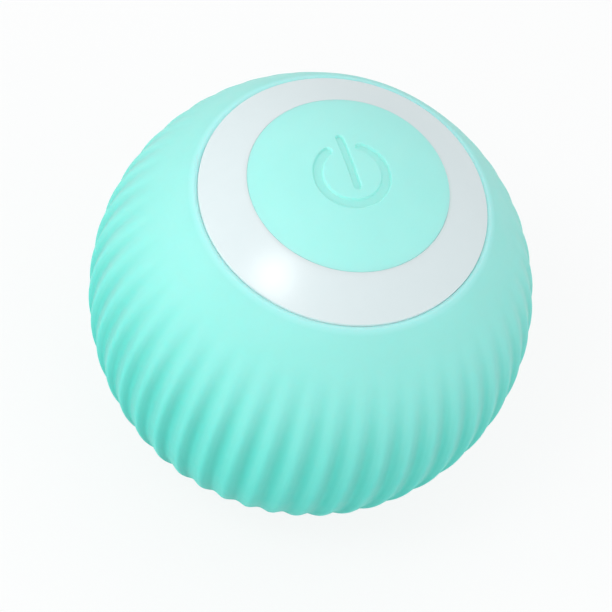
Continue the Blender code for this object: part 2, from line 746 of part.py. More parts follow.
def button_cap(parent):
    """The domed disc: its skirt slides in the light ring, and its stem goes down to the switch."""
    edge = top_height(BUTTON_RADIUS)
    skirt_inner = SKIRT_OUTER - BUTTON_SKIRT_WALL
    skirt_bottom = WEB_TOP + 2 * FIT + BUTTON_TRAVEL
    top = top_arc(0, 0, BUTTON_RADIUS - EDGE_BREAK, DOME_STEPS)
    hollow = top_arc(BUTTON_WALL, skirt_inner, STEM_RADIUS, SHORT_ARC_STEPS)
    hook = SKIRT_OUTER + CATCH_REACH
    skirt = [
        (BUTTON_RADIUS, edge - EDGE_BREAK),
        (BUTTON_RADIUS, edge - BUTTON_RIM),
        (SKIRT_OUTER, edge - BUTTON_RIM - BUTTON_SKIRT_STEP),
        (SKIRT_OUTER, skirt_bottom + CATCH_HEIGHT),
        (hook, skirt_bottom + CATCH_HEIGHT),
        (hook, skirt_bottom),
        (skirt_inner, skirt_bottom),
    ]
    profile = top + skirt + hollow + [(STEM_RADIUS, PLUNGER_TOP + FIT), (0, PLUNGER_TOP + FIT)]
    return piece("button_cap", turned(profile, DISC_STEPS), parent, MINT)


def gear_outline(teeth, module, tip, root, room, phase, curved):
    """Involute teeth round a circle. A negative room widens them, for the hollow of an inside gear."""
    pitch = teeth * module / 2
    base = pitch * math.cos(PRESSURE_ANGLE)

    def involute(radius):
        roll = math.sqrt(max((radius / base) ** 2 - 1, 0))
        return roll - math.atan(roll)

    half = math.pi / (2 * teeth) - room / (2 * pitch)
    radii = [root, pitch, tip] if curved else [root, tip]
    points = []
    for tooth in range(teeth):
        middle = phase + math.tau * tooth / teeth
        for side, order in ((-1, radii), (1, radii[::-1])):
            for radius in order:
                flank = half + involute(pitch) - involute(radius)
                points.append(polar(radius, middle + side * flank))
    return points


def gear(teeth, module, low, high, phase, curved):
    pitch = teeth * module / 2
    tip = pitch + ADDENDUM_SHARE * module
    root = pitch - DEDENDUM_SHARE * module
    return prism(gear_outline(teeth, module, tip, root, FLANK_ROOM, phase, curved), low, high)


def ring_gear(parent):
    """The inside gear, keyed in the lower shell so that the drive can push the ball round."""
    pitch = RING_PITCH_RADIUS
    hollow = gear_outline(
        RING_TEETH,
        RING_MODULE,
        pitch + DEDENDUM_SHARE * RING_MODULE,
        pitch - ADDENDUM_SHARE * RING_MODULE,
        -FLANK_ROOM,
        math.atan2(FINAL_AXIS.y, FINAL_AXIS.x),
        curved=False,
    )
    body = prism(circle(RING_OUTSIDE, SHELL_STEPS), RING_BOTTOM, RING_TOP)
    made = piece("ring_gear", body, parent, GEAR_WHITE)
    join(made, ring_keys(0), parent)
    cut(made, prism(hollow, RING_BOTTOM - OVERRUN, RING_TOP + OVERRUN), parent)
    return made


def compound_gear(name, parent, pinion, wheel, boss_low):
    """A pinion and a wheel moulded as one gear, with a boss to each side and a bore for its pin."""
    made = piece(name, wheel, parent, GEAR_WHITE)
    join(made, pinion, parent)
    join(made, rod(GEAR_BOSS_RADIUS, boss_low, GEAR_TOP), parent)
    cut(made, rod(PIN_RADIUS + RUN, FLOOR, DECK_BOTTOM), parent)
    return made


def angle_between(start, end):
    way = end - start
    return math.atan2(way.y, way.x)


def gear_train(carriage):
    """The train from the motor's pinion to the ring gear, with every pair in mesh at rest."""
    motor = empty("motor_axis", carriage, (*MOTOR_AXIS, 0))
    idler = empty("idler_axis", carriage, (*IDLER_AXIS, 0))
    final = empty("final_axis", carriage, (*FINAL_AXIS, 0))
    overlap = SIDE_PLAY / 2
    to_idler = angle_between(MOTOR_AXIS, IDLER_AXIS)
    to_final = angle_between(IDLER_AXIS, FINAL_AXIS)
    outward = math.atan2(FINAL_AXIS.y, FINAL_AXIS.x)

    pinion_low = IDLER_WHEEL_TOP - MOTOR_PINION_FACE + SIDE_PLAY / 2
    pinion_high = pinion_low + MOTOR_PINION_FACE
    pinion = gear(MOTOR_TEETH, FIRST_MODULE, pinion_low, pinion_high, to_idler, curved=True)
    motor_pinion = piece("motor_pinion", pinion, motor, BRASS)
    cut(motor_pinion, rod(SHAFT_RADIUS + RUN, FLOOR, DECK_BOTTOM), motor)
    shaft = rod(SHAFT_RADIUS, pinion_low - SIDE_PLAY, MOTOR_BOTTOM + SHAFT_BORE_DEPTH - FIT)
    piece("motor_shaft", shaft, motor, STEEL)

    idler_pinion = gear(
        IDLER_TEETH,
        SECOND_MODULE,
        IDLER_WHEEL_BOTTOM - IDLER_FACE,
        IDLER_WHEEL_BOTTOM + overlap,
        to_final,
        curved=True,
    )
    idler_wheel = gear(
        IDLER_WHEEL_TEETH,
        FIRST_MODULE,
        IDLER_WHEEL_BOTTOM,
        IDLER_WHEEL_TOP,
        to_idler + math.pi + math.pi / IDLER_WHEEL_TEETH,
        curved=False,
    )
    compound_gear("idler_gear", idler, idler_pinion, idler_wheel, FINAL_BOTTOM)

    final_pinion = gear(
        FINAL_TEETH,
        RING_MODULE,
        FINAL_BOTTOM,
        FINAL_WHEEL_BOTTOM + overlap,
        outward,
        curved=True,
    )
    final_wheel = gear(
        FINAL_WHEEL_TEETH,
        SECOND_MODULE,
        FINAL_WHEEL_BOTTOM,
        FINAL_WHEEL_TOP,
        to_final + math.pi + math.pi / FINAL_WHEEL_TEETH,
        curved=False,
    )
    compound_gear("final_gear", final, final_pinion, final_wheel, FINAL_BOTTOM + overlap)


def upper_bushing(parent):
    flange = BUSHING_OUTER + BUSHING_FLANGE
    profile = [
        (BUSHING_INNER, UPPER_FLANGE_BOTTOM),
        (flange, UPPER_FLANGE_BOTTOM),
        (flange, UPPER_FLANGE_TOP),
        (BUSHING_OUTER, UPPER_FLANGE_TOP),
        (BUSHING_OUTER, UPPER_BOSS_TOP),
        (BUSHING_INNER, UPPER_BOSS_TOP),
    ]
    return piece("upper_bushing", turned(profile), parent, BUSHING_GREY)


def lower_bushing(parent):
    flange = LOWER_BUSHING_OUTER + BUSHING_FLANGE
    profile = [
        (LOWER_BUSHING_INNER, LOWER_BOSS_BOTTOM),
        (LOWER_BUSHING_OUTER, LOWER_BOSS_BOTTOM),
        (LOWER_BUSHING_OUTER, LOWER_FLANGE_BOTTOM),
        (flange, LOWER_FLANGE_BOTTOM),
        (flange, LOWER_FLANGE_TOP),
        (LOWER_BUSHING_INNER, LOWER_FLANGE_TOP),
    ]
    return piece("lower_bushing", turned(profile), parent, BUSHING_GREY)


def screw_holes(places, low, high, radius=SCREW_RADIUS):
    """Clearance holes for screws, as one cutting tool."""
    return merged(*[rod(radius + FIT, low, high, place, SCREW_STEPS) for place in places])


def upper_hub(carriage):
    """The hollow journal on the light board, with the switch in its pocket."""
    pocket_top = HUB_BOTTOM + HUB_POCKET_DEPTH
    profile = [
        (HUB_POCKET_RADIUS, HUB_BOTTOM),
        (HUB_FLANGE_RADIUS, HUB_BOTTOM),
        (HUB_FLANGE_RADIUS, HUB_BOTTOM + HUB_FLANGE_THICKNESS),
        (HUB_SHOULDER_RADIUS, HUB_BOTTOM + HUB_FLANGE_THICKNESS),
        (HUB_SHOULDER_RADIUS, HUB_SHOULDER_TOP),
        (JOURNAL_RADIUS, HUB_SHOULDER_TOP),
        (JOURNAL_RADIUS, UPPER_BOSS_TOP - EDGE_BREAK),
        (JOURNAL_RADIUS - EDGE_BREAK, UPPER_BOSS_TOP),
        (JOURNAL_BORE, UPPER_BOSS_TOP),
        (JOURNAL_BORE, pocket_top),
        (HUB_POCKET_RADIUS, pocket_top),
    ]
    made = piece("upper_hub", turned(profile), carriage, FRAME_GREY)
    places = [polar(HUB_SCREW_CIRCLE, angle) for angle in HUB_SCREW_ANGLES]
    cut(made, screw_holes(places, HUB_BOTTOM - OVERRUN, HUB_SHOULDER_TOP), carriage)
    return made


def socket_hole(room, low, high):
    """A stadium round the charging socket, its long side along Y."""
    width = SOCKET_THICKNESS + 2 * room
    depth = SOCKET_WIDTH + 2 * room
    return prism(rounded_rectangle(width, depth, width / 2, CORNER_STEPS), low, high)


def lower_frame(carriage):
    """The gearbox floor with the lower hub, which turns in its bushing and holds the socket."""
    plate_bottom = FLOOR - LOWER_PLATE_THICKNESS
    thrust = LOWER_FLANGE_TOP + THRUST_PLAY
    profile = [
        (0, HUB_END),
        (HUB_RADIUS - EDGE_BREAK, HUB_END),
        (HUB_RADIUS, HUB_END + EDGE_BREAK),
        (HUB_RADIUS, thrust),
        (HUB_RADIUS + THRUST_RING_WIDTH, thrust),
        (HUB_RADIUS + THRUST_RING_WIDTH, plate_bottom),
        (LOWER_PLATE_RADIUS, plate_bottom),
        (LOWER_PLATE_RADIUS, FLOOR),
        (0, FLOOR),
    ]
    made = piece("lower_frame", turned(profile, SHELL_STEPS), carriage, FRAME_GREY)
    cut(made, socket_hole(FIT, HUB_END - OVERRUN, FLOOR + OVERRUN), carriage)
    low = plate_bottom - OVERRUN
    high = FLOOR + OVERRUN
    places = [polar(FRAME_POST_CIRCLE, angle) for angle in FRAME_POST_ANGLES]
    pins = [rod(PIN_RADIUS + RUN, low, high, axle) for axle in (IDLER_AXIS, FINAL_AXIS)]
    cut(made, merged(screw_holes(places, low, high), *pins), carriage)
    return made


def board_post_place(angle):
    """Board posts stand on one circle, but for the rear one, which clears the battery."""
    return polar(REAR_POST_CIRCLE if math.sin(angle) > 0 else BOARD_POST_CIRCLE, angle)


def weight_screw_places():
    turns = [-math.pi / 2 + side * WEIGHT_SCREW_HALF_ANGLE for side in (-1, 1)]
    return [polar(WEIGHT_SCREW_CIRCLE, turn) for turn in turns]


def motor_frame(carriage):
    """The deck: posts down to the gearbox floor and up to the board, a nest wall and a battery fence."""
    deck = prism(circle(DECK_RADIUS, SHELL_STEPS), DECK_BOTTOM, DECK_TOP)
    made = piece("motor_frame", deck, carriage, FRAME_GREY)
    lower_places = [polar(FRAME_POST_CIRCLE, angle) for angle in FRAME_POST_ANGLES]
    upper_places = [board_post_place(angle) for angle in BOARD_POST_ANGLES]
    posts = [rod(FRAME_POST_RADIUS, FLOOR + FIT, DECK_BOTTOM + FIT, place) for place in lower_places]
    posts += [rod(BOARD_POST_RADIUS, DECK_TOP - FIT, BOARD_BOTTOM - FIT, place) for place in upper_places]
    join(made, merged(*posts), carriage)
    nest = MOTOR_DEPTH / 2 + FIT + NEST_WALL / 2 - MOTOR_OFFSET
    walls = merged(
        block(MOTOR_WIDTH, NEST_WALL, DECK_TOP - FIT, DECK_TOP + NEST_HEIGHT, (0, nest)),
        block(
            BATTERY_FENCE_LENGTH,
            BATTERY_FENCE_WALL,
            DECK_TOP - FIT,
            DECK_TOP + BATTERY_FENCE_HEIGHT,
            (0, BATTERY_FRONT + BATTERY_DEPTH + FIT + BATTERY_FENCE_WALL / 2),
        ),
    )
    join(made, walls, carriage)
    low = DECK_BOTTOM - OVERRUN
    high = DECK_TOP + OVERRUN
    holes = [rod(PIN_RADIUS + RUN, low, high, axle) for axle in (IDLER_AXIS, FINAL_AXIS)]
    holes.append(rod(MOTOR_NOSE_RADIUS + FIT, low, high, MOTOR_AXIS))
    holes.append(screw_holes(lower_places, FLOOR - OVERRUN, FLOOR + SCREW_BITE))
    holes.append(screw_holes(upper_places, BOARD_BOTTOM - SCREW_BITE, BOARD_BOTTOM + OVERRUN))
    holes.append(screw_holes(weight_screw_places(), low, high, WEIGHT_SCREW_RADIUS))
    cut(made, merged(*holes), carriage)
    return made


def axle_pins(carriage):
    for name, axle in (("idler_pin", IDLER_AXIS), ("final_pin", FINAL_AXIS)):
        pin = rod(PIN_RADIUS, FLOOR - LOWER_PLATE_THICKNESS + FIT, DECK_TOP - FIT, axle)
        piece(name, pin, carriage, STEEL)


def motor_outline(room):
    """The motor's own outline, with this much room all round."""
    width = MOTOR_WIDTH + 2 * room
    depth = MOTOR_DEPTH + 2 * room
    return rounded_rectangle(width, depth, MOTOR_CORNER + room, CORNER_STEPS, MOTOR_AXIS)


def terminal_places():
    return [MOTOR_AXIS + Vector((side * TERMINAL_SPREAD, 0)) for side in (-1, 1)]


def terminal_slots(low, high):
    """Slots that let both motor terminals through."""
    width = TERMINAL_WIDTH + 2 * FIT
    depth = TERMINAL_THICKNESS + 2 * FIT
    return merged(*[block(width, depth, low, high, place) for place in terminal_places()])


def motor(carriage):
    """A flat-sided can motor that stands on the deck, with its nose through it and two terminals on top."""
    can = piece("motor_can", prism(motor_outline(0), MOTOR_BOTTOM, MOTOR_TOP), carriage, STEEL)
    nose_bottom = MOTOR_BOTTOM - MOTOR_NOSE_LENGTH
    join(can, rod(MOTOR_NOSE_RADIUS, nose_bottom, MOTOR_BOTTOM + FIT, MOTOR_AXIS), carriage)
    bore = rod(SHAFT_RADIUS + RUN, nose_bottom - OVERRUN, MOTOR_BOTTOM + SHAFT_BORE_DEPTH, MOTOR_AXIS)
    cut(can, bore, carriage)
    cap = prism(motor_outline(-MOTOR_CAP_INSET), MOTOR_TOP + FIT, MOTOR_CAP_TOP)
    end_cap = piece("motor_end_cap", cap, carriage, CHIP_BLACK)
    cut(end_cap, terminal_slots(MOTOR_TOP, MOTOR_CAP_TOP + OVERRUN), carriage)
    for number, place in enumerate(terminal_places(), 1):
        top = BOARD_TOP + TERMINAL_PROUD
        blade = block(TERMINAL_WIDTH, TERMINAL_THICKNESS, MOTOR_TOP + FIT, top, place)
        piece(f"motor_terminal_{number}", blade, carriage, BRASS)


def counterweight(carriage):
    """A steel crescent round the motor, which hangs below the rolling axis and keeps the drive upright."""
    outline = sector(
        WEIGHT_INNER_RADIUS,
        WEIGHT_OUTER_RADIUS,
        -math.pi / 2 - WEIGHT_HALF_ANGLE,
        -math.pi / 2 + WEIGHT_HALF_ANGLE,
        WEIGHT_STEPS,
    )
    made = piece("counterweight", prism(outline, WEIGHT_BOTTOM, WEIGHT_TOP), carriage, STEEL)
    low = WEIGHT_BOTTOM - OVERRUN
    high = WEIGHT_TOP + OVERRUN
    cut(made, prism(motor_outline(FIT), low, high), carriage)
    way_out = block(MOTOR_WIDTH + 2 * FIT, MOTOR_OFFSET, low, high, (0, -MOTOR_OFFSET / 2))
    cut(made, way_out, carriage)
    holes = screw_holes(weight_screw_places(), low, WEIGHT_BOTTOM + SCREW_BITE, WEIGHT_SCREW_RADIUS)
    cut(made, holes, carriage)
    return made


def screw(name, parent, place, tip, seat, head_radius, shank_radius=SCREW_RADIUS):
    """A pan-head screw from its tip to the face its head sits on, either way up."""
    top = seat + math.copysign(SCREW_HEAD_HEIGHT, seat - tip)
    profile = [
        (0, tip),
        (shank_radius, tip),
        (shank_radius, seat),
        (head_radius, seat),
        (head_radius, top),
        (0, top),
    ]
    piece(name, moved(turned(profile, SCREW_STEPS), (*place, 0)), parent, STEEL)


def screws(carriage):
    plate_bottom = FLOOR - LOWER_PLATE_THICKNESS
    for number, angle in enumerate(FRAME_POST_ANGLES, 1):
        tip = FLOOR + SCREW_BITE - FIT
        place = polar(FRAME_POST_CIRCLE, angle)
        screw(f"frame_screw_{number}", carriage, place, tip, plate_bottom - FIT, SCREW_HEAD_RADIUS)
    for number, angle in enumerate(BOARD_POST_ANGLES, 1):
        tip = BOARD_BOTTOM - SCREW_BITE + FIT
        place = board_post_place(angle)
        screw(f"board_screw_{number}", carriage, place, tip, BOARD_TOP + FIT, SCREW_HEAD_RADIUS)
    for number, angle in enumerate(HUB_SCREW_ANGLES, 1):
        seat = HUB_BOTTOM + HUB_FLANGE_THICKNESS + FIT
        place = polar(HUB_SCREW_CIRCLE, angle)
        screw(f"hub_screw_{number}", carriage, place, BOARD_BOTTOM - FIT, seat, HUB_SCREW_HEAD_RADIUS)
    for number, place in enumerate(weight_screw_places(), 1):
        tip = WEIGHT_BOTTOM + SCREW_BITE - FIT
        seat = DECK_BOTTOM - FIT
        screw(f"weight_screw_{number}", carriage, place, tip, seat, SCREW_HEAD_RADIUS, WEIGHT_SCREW_RADIUS)


def battery(carriage):
    """The flat cell behind the motor, stuck to the deck with a strip of tape."""
    middle = (0, BATTERY_FRONT + BATTERY_DEPTH / 2)
    outline = rounded_rectangle(BATTERY_WIDTH, BATTERY_DEPTH, BATTERY_CORNER, CORNER_STEPS - 1, middle)
    pouch = prism(outline, BATTERY_BOTTOM, BATTERY_TOP)
    rims = [edge for edge in pouch.edges if abs(edge.verts[0].co.z - edge.verts[1].co.z) < WELD]
    bmesh.ops.bevel(
        pouch,
        geom=rims,
        offset=BATTERY_CORNER / 2,
        affect="EDGES",
        segments=2,
        profile=0.5,
        material=-1,
    )
    piece("battery", pouch, carriage, BATTERY_SILVER)
    tape = block(
        BATTERY_WIDTH - 2 * TAPE_INSET,
        BATTERY_DEPTH - 2 * TAPE_INSET,
        TAPE_BOTTOM,
        TAPE_BOTTOM + TAPE_THICKNESS,
        middle,
    )
    piece("battery_tape", tape, carriage, TAPE_BLUE)


def battery_tabs(carriage):
    """Two bent strips that stand on the cell and are soldered in slots of the board."""
    foot = BATTERY_TOP + FIT
    top = BOARD_TOP + TERMINAL_PROUD
    for number, (x, y) in enumerate(TAB_PLACES, 1):
        back = x + TAB_THICKNESS
        outline = [
            (back, foot),
            (back, top),
            (x, top),
            (x, foot + TAB_THICKNESS),
            (back - TAB_FOOT, foot + TAB_THICKNESS),
            (back - TAB_FOOT, foot),
        ]
        strip = prism(outline, -TAB_WIDTH / 2, TAB_WIDTH / 2)
        upright = Matrix.Rotation(math.pi / 2, 3, "X")
        bmesh.ops.rotate(strip, verts=strip.verts[:], cent=(0, 0, 0), matrix=upright)
        piece(f"battery_tab_{number}", moved(strip, (0, y, 0)), carriage, STEEL)


def tab_slots(low, high):
    """Slots that let both battery tabs through."""
    width = TAB_THICKNESS + 2 * FIT
    depth = TAB_WIDTH + 2 * FIT
    places = [(x + TAB_THICKNESS / 2, y) for x, y in TAB_PLACES]
    return merged(*[block(width, depth, low, high, place) for place in places])


def light_board(carriage):
    board = prism(circle(BOARD_RADIUS, SHELL_STEPS), BOARD_BOTTOM, BOARD_TOP)
    made = piece("light_board", board, carriage, BOARD_GREEN)
    low = BOARD_BOTTOM - OVERRUN
    high = BOARD_TOP + OVERRUN
    places = [board_post_place(angle) for angle in BOARD_POST_ANGLES]
    places += [polar(HUB_SCREW_CIRCLE, angle) for angle in HUB_SCREW_ANGLES]
    holes = merged(screw_holes(places, low, high), terminal_slots(low, high), tab_slots(low, high))
    cut(made, holes, carriage)
    return made


def board_parts(carriage):
    """Lamps above the board, and its chip and roll sensor below it."""
    for number in range(LED_COUNT):
        low = BOARD_TOP + FIT
        body = block(LED_LENGTH, LED_WIDTH, low, low + LED_BODY_HEIGHT, (LIGHT_CIRCLE, 0))
        lens = rod(LED_LENS_RADIUS, low + LED_BODY_HEIGHT - FIT, low + LED_HEIGHT, (LIGHT_CIRCLE, 0))
        turn = Matrix.Rotation(math.tau * number / LED_COUNT, 3, "Z")
        for shape in (body, lens):
            bmesh.ops.rotate(shape, verts=shape.verts[:], cent=(0, 0, 0), matrix=turn)
        join(piece(f"light_led_{number + 1}", body, carriage, RING_WHITE), lens, carriage)
    under = BOARD_BOTTOM - FIT
    chip = block(CHIP_LENGTH, CHIP_WIDTH, under - CHIP_HEIGHT, under, CHIP_OFFSET)
    piece("control_chip", chip, carriage, CHIP_BLACK)
    sensor = rod(SENSOR_RADIUS, -SENSOR_LENGTH / 2, SENSOR_LENGTH / 2)
    lying = Matrix.Rotation(math.pi / 2, 3, "X")
    bmesh.ops.rotate(sensor, verts=sensor.verts[:], cent=(0, 0, 0), matrix=lying)
    moved(sensor, (*SENSOR_OFFSET, under - SENSOR_RADIUS))
    piece("motion_sensor", sensor, carriage, BRASS)


def button_switch(carriage):
    """The push switch under the button: its plunger stands up the hub's bore."""
    body = block(SWITCH_SIDE, SWITCH_SIDE, SWITCH_BOTTOM, SWITCH_TOP)
    made = piece("switch_body", body, carriage, CHIP_BLACK)
    cut(made, rod(PLUNGER_RADIUS + RUN, SWITCH_BOTTOM + SWITCH_FLOOR, SWITCH_TOP + OVERRUN), carriage)
    foot = SWITCH_BOTTOM + SWITCH_FLOOR + BUTTON_TRAVEL + FIT
    piece("switch_plunger", rod(PLUNGER_RADIUS, foot, PLUNGER_TOP), carriage, SHELL_WHITE)


def charging_end(carriage):
    """The cap at the lower pole, the socket behind it and the board that the socket stands on."""
    disc = rod(PORT_CAP_RADIUS, PORT_CAP_BOTTOM, PORT_CAP_TOP, steps=TURNED_STEPS)
    cap = piece("port_cap", disc, carriage, SHELL_WHITE)
    cut(cap, socket_hole(FIT, PORT_CAP_BOTTOM - OVERRUN, PORT_CAP_TOP + OVERRUN), carriage)

    socket_top = CHARGE_BOARD_BOTTOM - FIT
    socket = piece("usb_c_socket", socket_hole(0, SOCKET_MOUTH, socket_top), carriage, STEEL)
    hollow_top = SOCKET_MOUTH + SOCKET_DEPTH
    cut(socket, socket_hole(-SOCKET_WALL, SOCKET_MOUTH - OVERRUN, hollow_top), carriage)
    tongue = block(TONGUE_THICKNESS, TONGUE_WIDTH, SOCKET_MOUTH + TONGUE_SETBACK, hollow_top + FIT)
    join(socket, tongue, carriage)

    width = CHARGE_BOARD_LEFT + CHARGE_BOARD_RIGHT
    middle = (CHARGE_BOARD_RIGHT - width / 2, 0)
    board = block(width, CHARGE_BOARD_DEPTH, CHARGE_BOARD_BOTTOM, CHARGE_BOARD_TOP, middle)
    piece("charge_board", board, carriage, BOARD_GREEN)
    chip = block(
        CHARGE_CHIP_WIDTH,
        CHARGE_CHIP_LENGTH,
        CHARGE_BOARD_TOP + FIT,
        CHARGE_BOARD_TOP + FIT + CHARGE_CHIP_HEIGHT,
        (-CHARGE_CHIP_OFFSET, 0),
    )
    piece("charge_chip", chip, carriage, CHIP_BLACK)


def rolling_shell(centre):
    silicone_sleeve(centre)
    upper_shell(centre)
    lower_shell(centre)
    light_ring(centre)
    ring_gear(centre)
    upper_bushing(centre)
    lower_bushing(centre)
    button_cap(centre)


def drive_carriage(centre):
    carriage = empty("carriage_axis", centre, (0, 0, 0))
    upper_hub(carriage)
    light_board(carriage)
    board_parts(carriage)
    button_switch(carriage)
    motor_frame(carriage)
    lower_frame(carriage)
    axle_pins(carriage)
    motor(carriage)
    gear_train(carriage)
    counterweight(carriage)
    battery(carriage)
    battery_tabs(carriage)
    charging_end(carriage)
    screws(carriage)


def main():
    clear_scene()
    centre = empty("ball_centre", None, (0, 0, BASE_DROP))
    rolling_shell(centre)
    drive_carriage(centre)


main()
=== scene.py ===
"""The self rolling cat ball in full detail: fluted sleeve, milky light ring, and button with a power sign.

Metres, +Z up. The ball stands on the flat of its sleeve, and its rolling axis is Z.
"""

import math

import bmesh
import bpy
from mathutils import Matrix, Vector

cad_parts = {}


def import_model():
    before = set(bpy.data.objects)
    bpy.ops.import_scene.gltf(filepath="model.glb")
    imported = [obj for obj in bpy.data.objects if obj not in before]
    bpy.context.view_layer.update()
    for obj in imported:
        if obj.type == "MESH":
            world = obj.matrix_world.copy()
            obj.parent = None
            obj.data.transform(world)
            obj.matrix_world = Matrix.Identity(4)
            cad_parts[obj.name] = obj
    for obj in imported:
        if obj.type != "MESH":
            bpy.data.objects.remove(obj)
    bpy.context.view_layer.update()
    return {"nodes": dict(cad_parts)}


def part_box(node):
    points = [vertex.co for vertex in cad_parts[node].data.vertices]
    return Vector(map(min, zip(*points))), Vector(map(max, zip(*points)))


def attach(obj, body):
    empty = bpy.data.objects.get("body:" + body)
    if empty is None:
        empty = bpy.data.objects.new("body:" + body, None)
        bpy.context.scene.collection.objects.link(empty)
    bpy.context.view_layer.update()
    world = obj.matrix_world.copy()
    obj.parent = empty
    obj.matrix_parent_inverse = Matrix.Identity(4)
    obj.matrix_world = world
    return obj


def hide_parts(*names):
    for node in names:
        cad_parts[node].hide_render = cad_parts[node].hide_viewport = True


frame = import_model()

# Whole ball, whose centre lies this high above the floor
BALL_RADIUS = 0.0215
CENTRE_HEIGHT = 0.0200
CENTRE = Vector((0, 0, CENTRE_HEIGHT))

# Top of the ball, a flatter dome whose centre lies below the ball's, with a soft shoulder round it
TOP_RADIUS = 0.0230
TOP_DROP = 0.00167
SHOULDER_END = math.radians(54)

# Sleeve, with a rounded lip at its window and a rounded foot at its sole
SLEEVE_WALL = 0.0018
WINDOW_RADIUS = 0.01392
LIP_ROUND = 0.00034
LIP_RISE = 0.00012
LIP_START = math.radians(-95)
LIP_DISTANCE = WINDOW_RADIUS + LIP_ROUND
SOLE_HOLE_RADIUS = 0.0066
SOLE_ROUND = 0.00025

# Flutes. Counted down from the top, they fade in below the collar, and out again towards the foot
FLUTES = 48
FLUTE_DEPTH = 0.00031
FLUTE_CREST_ANGLE = math.radians(-87.2)
COLLAR_END = math.radians(50)
FLUTES_FULL = math.radians(90)
FLUTES_FALL = math.radians(115)
FLUTES_END = math.radians(157)

# Painted light and shade on the sleeve: its colour is deepened down the ball and in the flutes as painted
# shade, and its lip is paled as a painted glow
PAINTED_SHADE_START = math.radians(40)
PAINTED_SHADE_END = math.radians(118)
PAINTED_SHADE_SHARE = 0.90
PAINTED_CREASE_SHADE_SHARE = 0.42
LIP_GLOW_WIDTH = 0.0005

# Light ring
RING_OUTER_RADIUS = 0.01398
RING_INNER_RADIUS = 0.00975
RING_EDGE_ROUND = 0.00003
RING_WALL = 0.0012
CATCH_RADIUS = 0.0097
CATCH_RISE = 0.0015
CATCH_HEIGHT = 0.0006

# Button, its skirt, hook and stem
BUTTON_RADIUS = 0.00974
BUTTON_EDGE_ROUND = 0.00004
BUTTON_WALL = 0.0012
BUTTON_RIM = 0.0014
SKIRT_RADIUS = 0.0095
SKIRT_WALL = 0.0008
SKIRT_RISE = 0.0005
HOOK_RADIUS = 0.0099
STEM_RADIUS = 0.0014

# Rise of the disc above its ring on one side, as in the photograph
DISC_RISE = 0.00018
DISC_HIGH_ANGLE = math.radians(35)
DISC_HIGH_SIDE = Vector((math.cos(DISC_HIGH_ANGLE), math.sin(DISC_HIGH_ANGLE)))

# Power sign sunk into the button: an open circle, and a bar that leans through its gap
SIGN_REACH = 0.0049
SIGN_RADIUS = 0.00330
SIGN_STROKE = 0.00090
SIGN_GAP_START = math.radians(92)
SIGN_GAP_END = math.radians(152)
SIGN_BAR_WIDTH = 0.00070
SIGN_BAR_INNER = Vector((0.00085, -0.00120))
SIGN_BAR_OUTER = Vector((-0.00225, 0.00360))
SIGN_DEPTH = 0.00030
SIGN_SLOPE = 0.00016

# Charging end
CAP_ROUND = 0.00015
SOCKET_WALL = 0.0003
SOCKET_DEPTH = 0.0062
SOCKET_ROUND = 0.00008
SOCKET_GAP = 0.0002
TONGUE_WIDTH = 0.0067
TONGUE_THICKNESS = 0.0007
TONGUE_SETBACK = 0.0005
TONGUE_ROUND = 0.0001
CONTACTS = 12
CONTACT_PITCH = 0.0005
CONTACT_WIDTH = 0.00026
CONTACT_LENGTH = 0.0035
CONTACT_PROUD = 0.00003
CONTACT_SETBACK = 0.0005

# Steps of a mesh round the axis, points along each part of a profile, and other counts
STEPS_PER_FLUTE = 12
RING_STEPS = 192
BUTTON_STEPS = 384
SOCKET_STEPS = 192
EDGE_POINTS = 5
LIP_POINTS = 9
SHOULDER_POINTS = 34
SIDE_POINTS = 9
FALL_POINTS = 22
INSIDE_POINTS = 20
DOME_POINTS = 14
RING_HOLLOW_POINTS = 6
BUTTON_HOLLOW_POINTS = 8
BEVEL_FACETS = 3

# Width of a facet where the sign is sunk, and the distance within which points are one
SIGN_GRID = 0.00005
WELD = 0.0000005

# Angles past which an edge shows sharp, on most pieces and on flat ones, and a right angle
SMOOTH_ANGLE = math.radians(32)
FLAT_PIECE_ANGLE = math.radians(10)
QUARTER = math.radians(90)

# Colours. A pair is the two ends of a faint mottling
COLLAR_MINT = ((0.348, 0.855, 0.779), (0.366, 0.870, 0.797))
# Painted shade: the sleeve's mint, darker and deeper, for low on the ball
LOW_PAINTED_SHADE_MINT = ((0.066, 0.825, 0.692), (0.078, 0.840, 0.707))
# Painted shade: a dark mint for the flute bottoms
PAINTED_CREASE_SHADE_MINT = (0.030, 0.640, 0.530)
# Painted glow: a pale mint for the sleeve's lip
PAINTED_LIP_GLOW_MINT = (0.470, 0.985, 0.930)
DISC_MINT = ((0.384, 0.902, 0.828), (0.400, 0.915, 0.843))
SIGN_MINT = (0.394, 0.908, 0.834)
RING_MILK = ((0.724, 0.812, 0.825), (0.744, 0.830, 0.843))
SHELL_WHITE = (0.78, 0.80, 0.80)
ACETAL_NATURAL = (0.80, 0.79, 0.72)
ACETAL_GREY = (0.30, 0.31, 0.32)
FRAME_GREY = (0.080, 0.085, 0.090)
STEEL_GREY = (0.60, 0.61, 0.62)
BRASS_YELLOW = (0.66, 0.46, 0.16)
LACQUER_GREEN = ((0.012, 0.150, 0.060), (0.016, 0.175, 0.072))
TRACK_GREEN = (0.035, 0.270, 0.110)
CHIP_BLACK = (0.012, 0.012, 0.014)
MOTOR_BLACK = (0.016, 0.016, 0.018)
LAMP_WHITE = (0.84, 0.84, 0.80)
LENS_YELLOW = (0.86, 0.80, 0.36)
FOIL_SILVER = ((0.50, 0.51, 0.54), (0.58, 0.59, 0.61))
# The foam tape's blue, and a darker blue for painted shade in its pores
TAPE_BLUE = ((0.030, 0.105, 0.340), (0.020, 0.070, 0.250))

# How far red, green and blue light spread inside mint pieces and the ring, as shares of the subsurface scale
MINT_REACH = (0.2, 1.0, 0.9)
RING_REACH = (1, 1, 1)

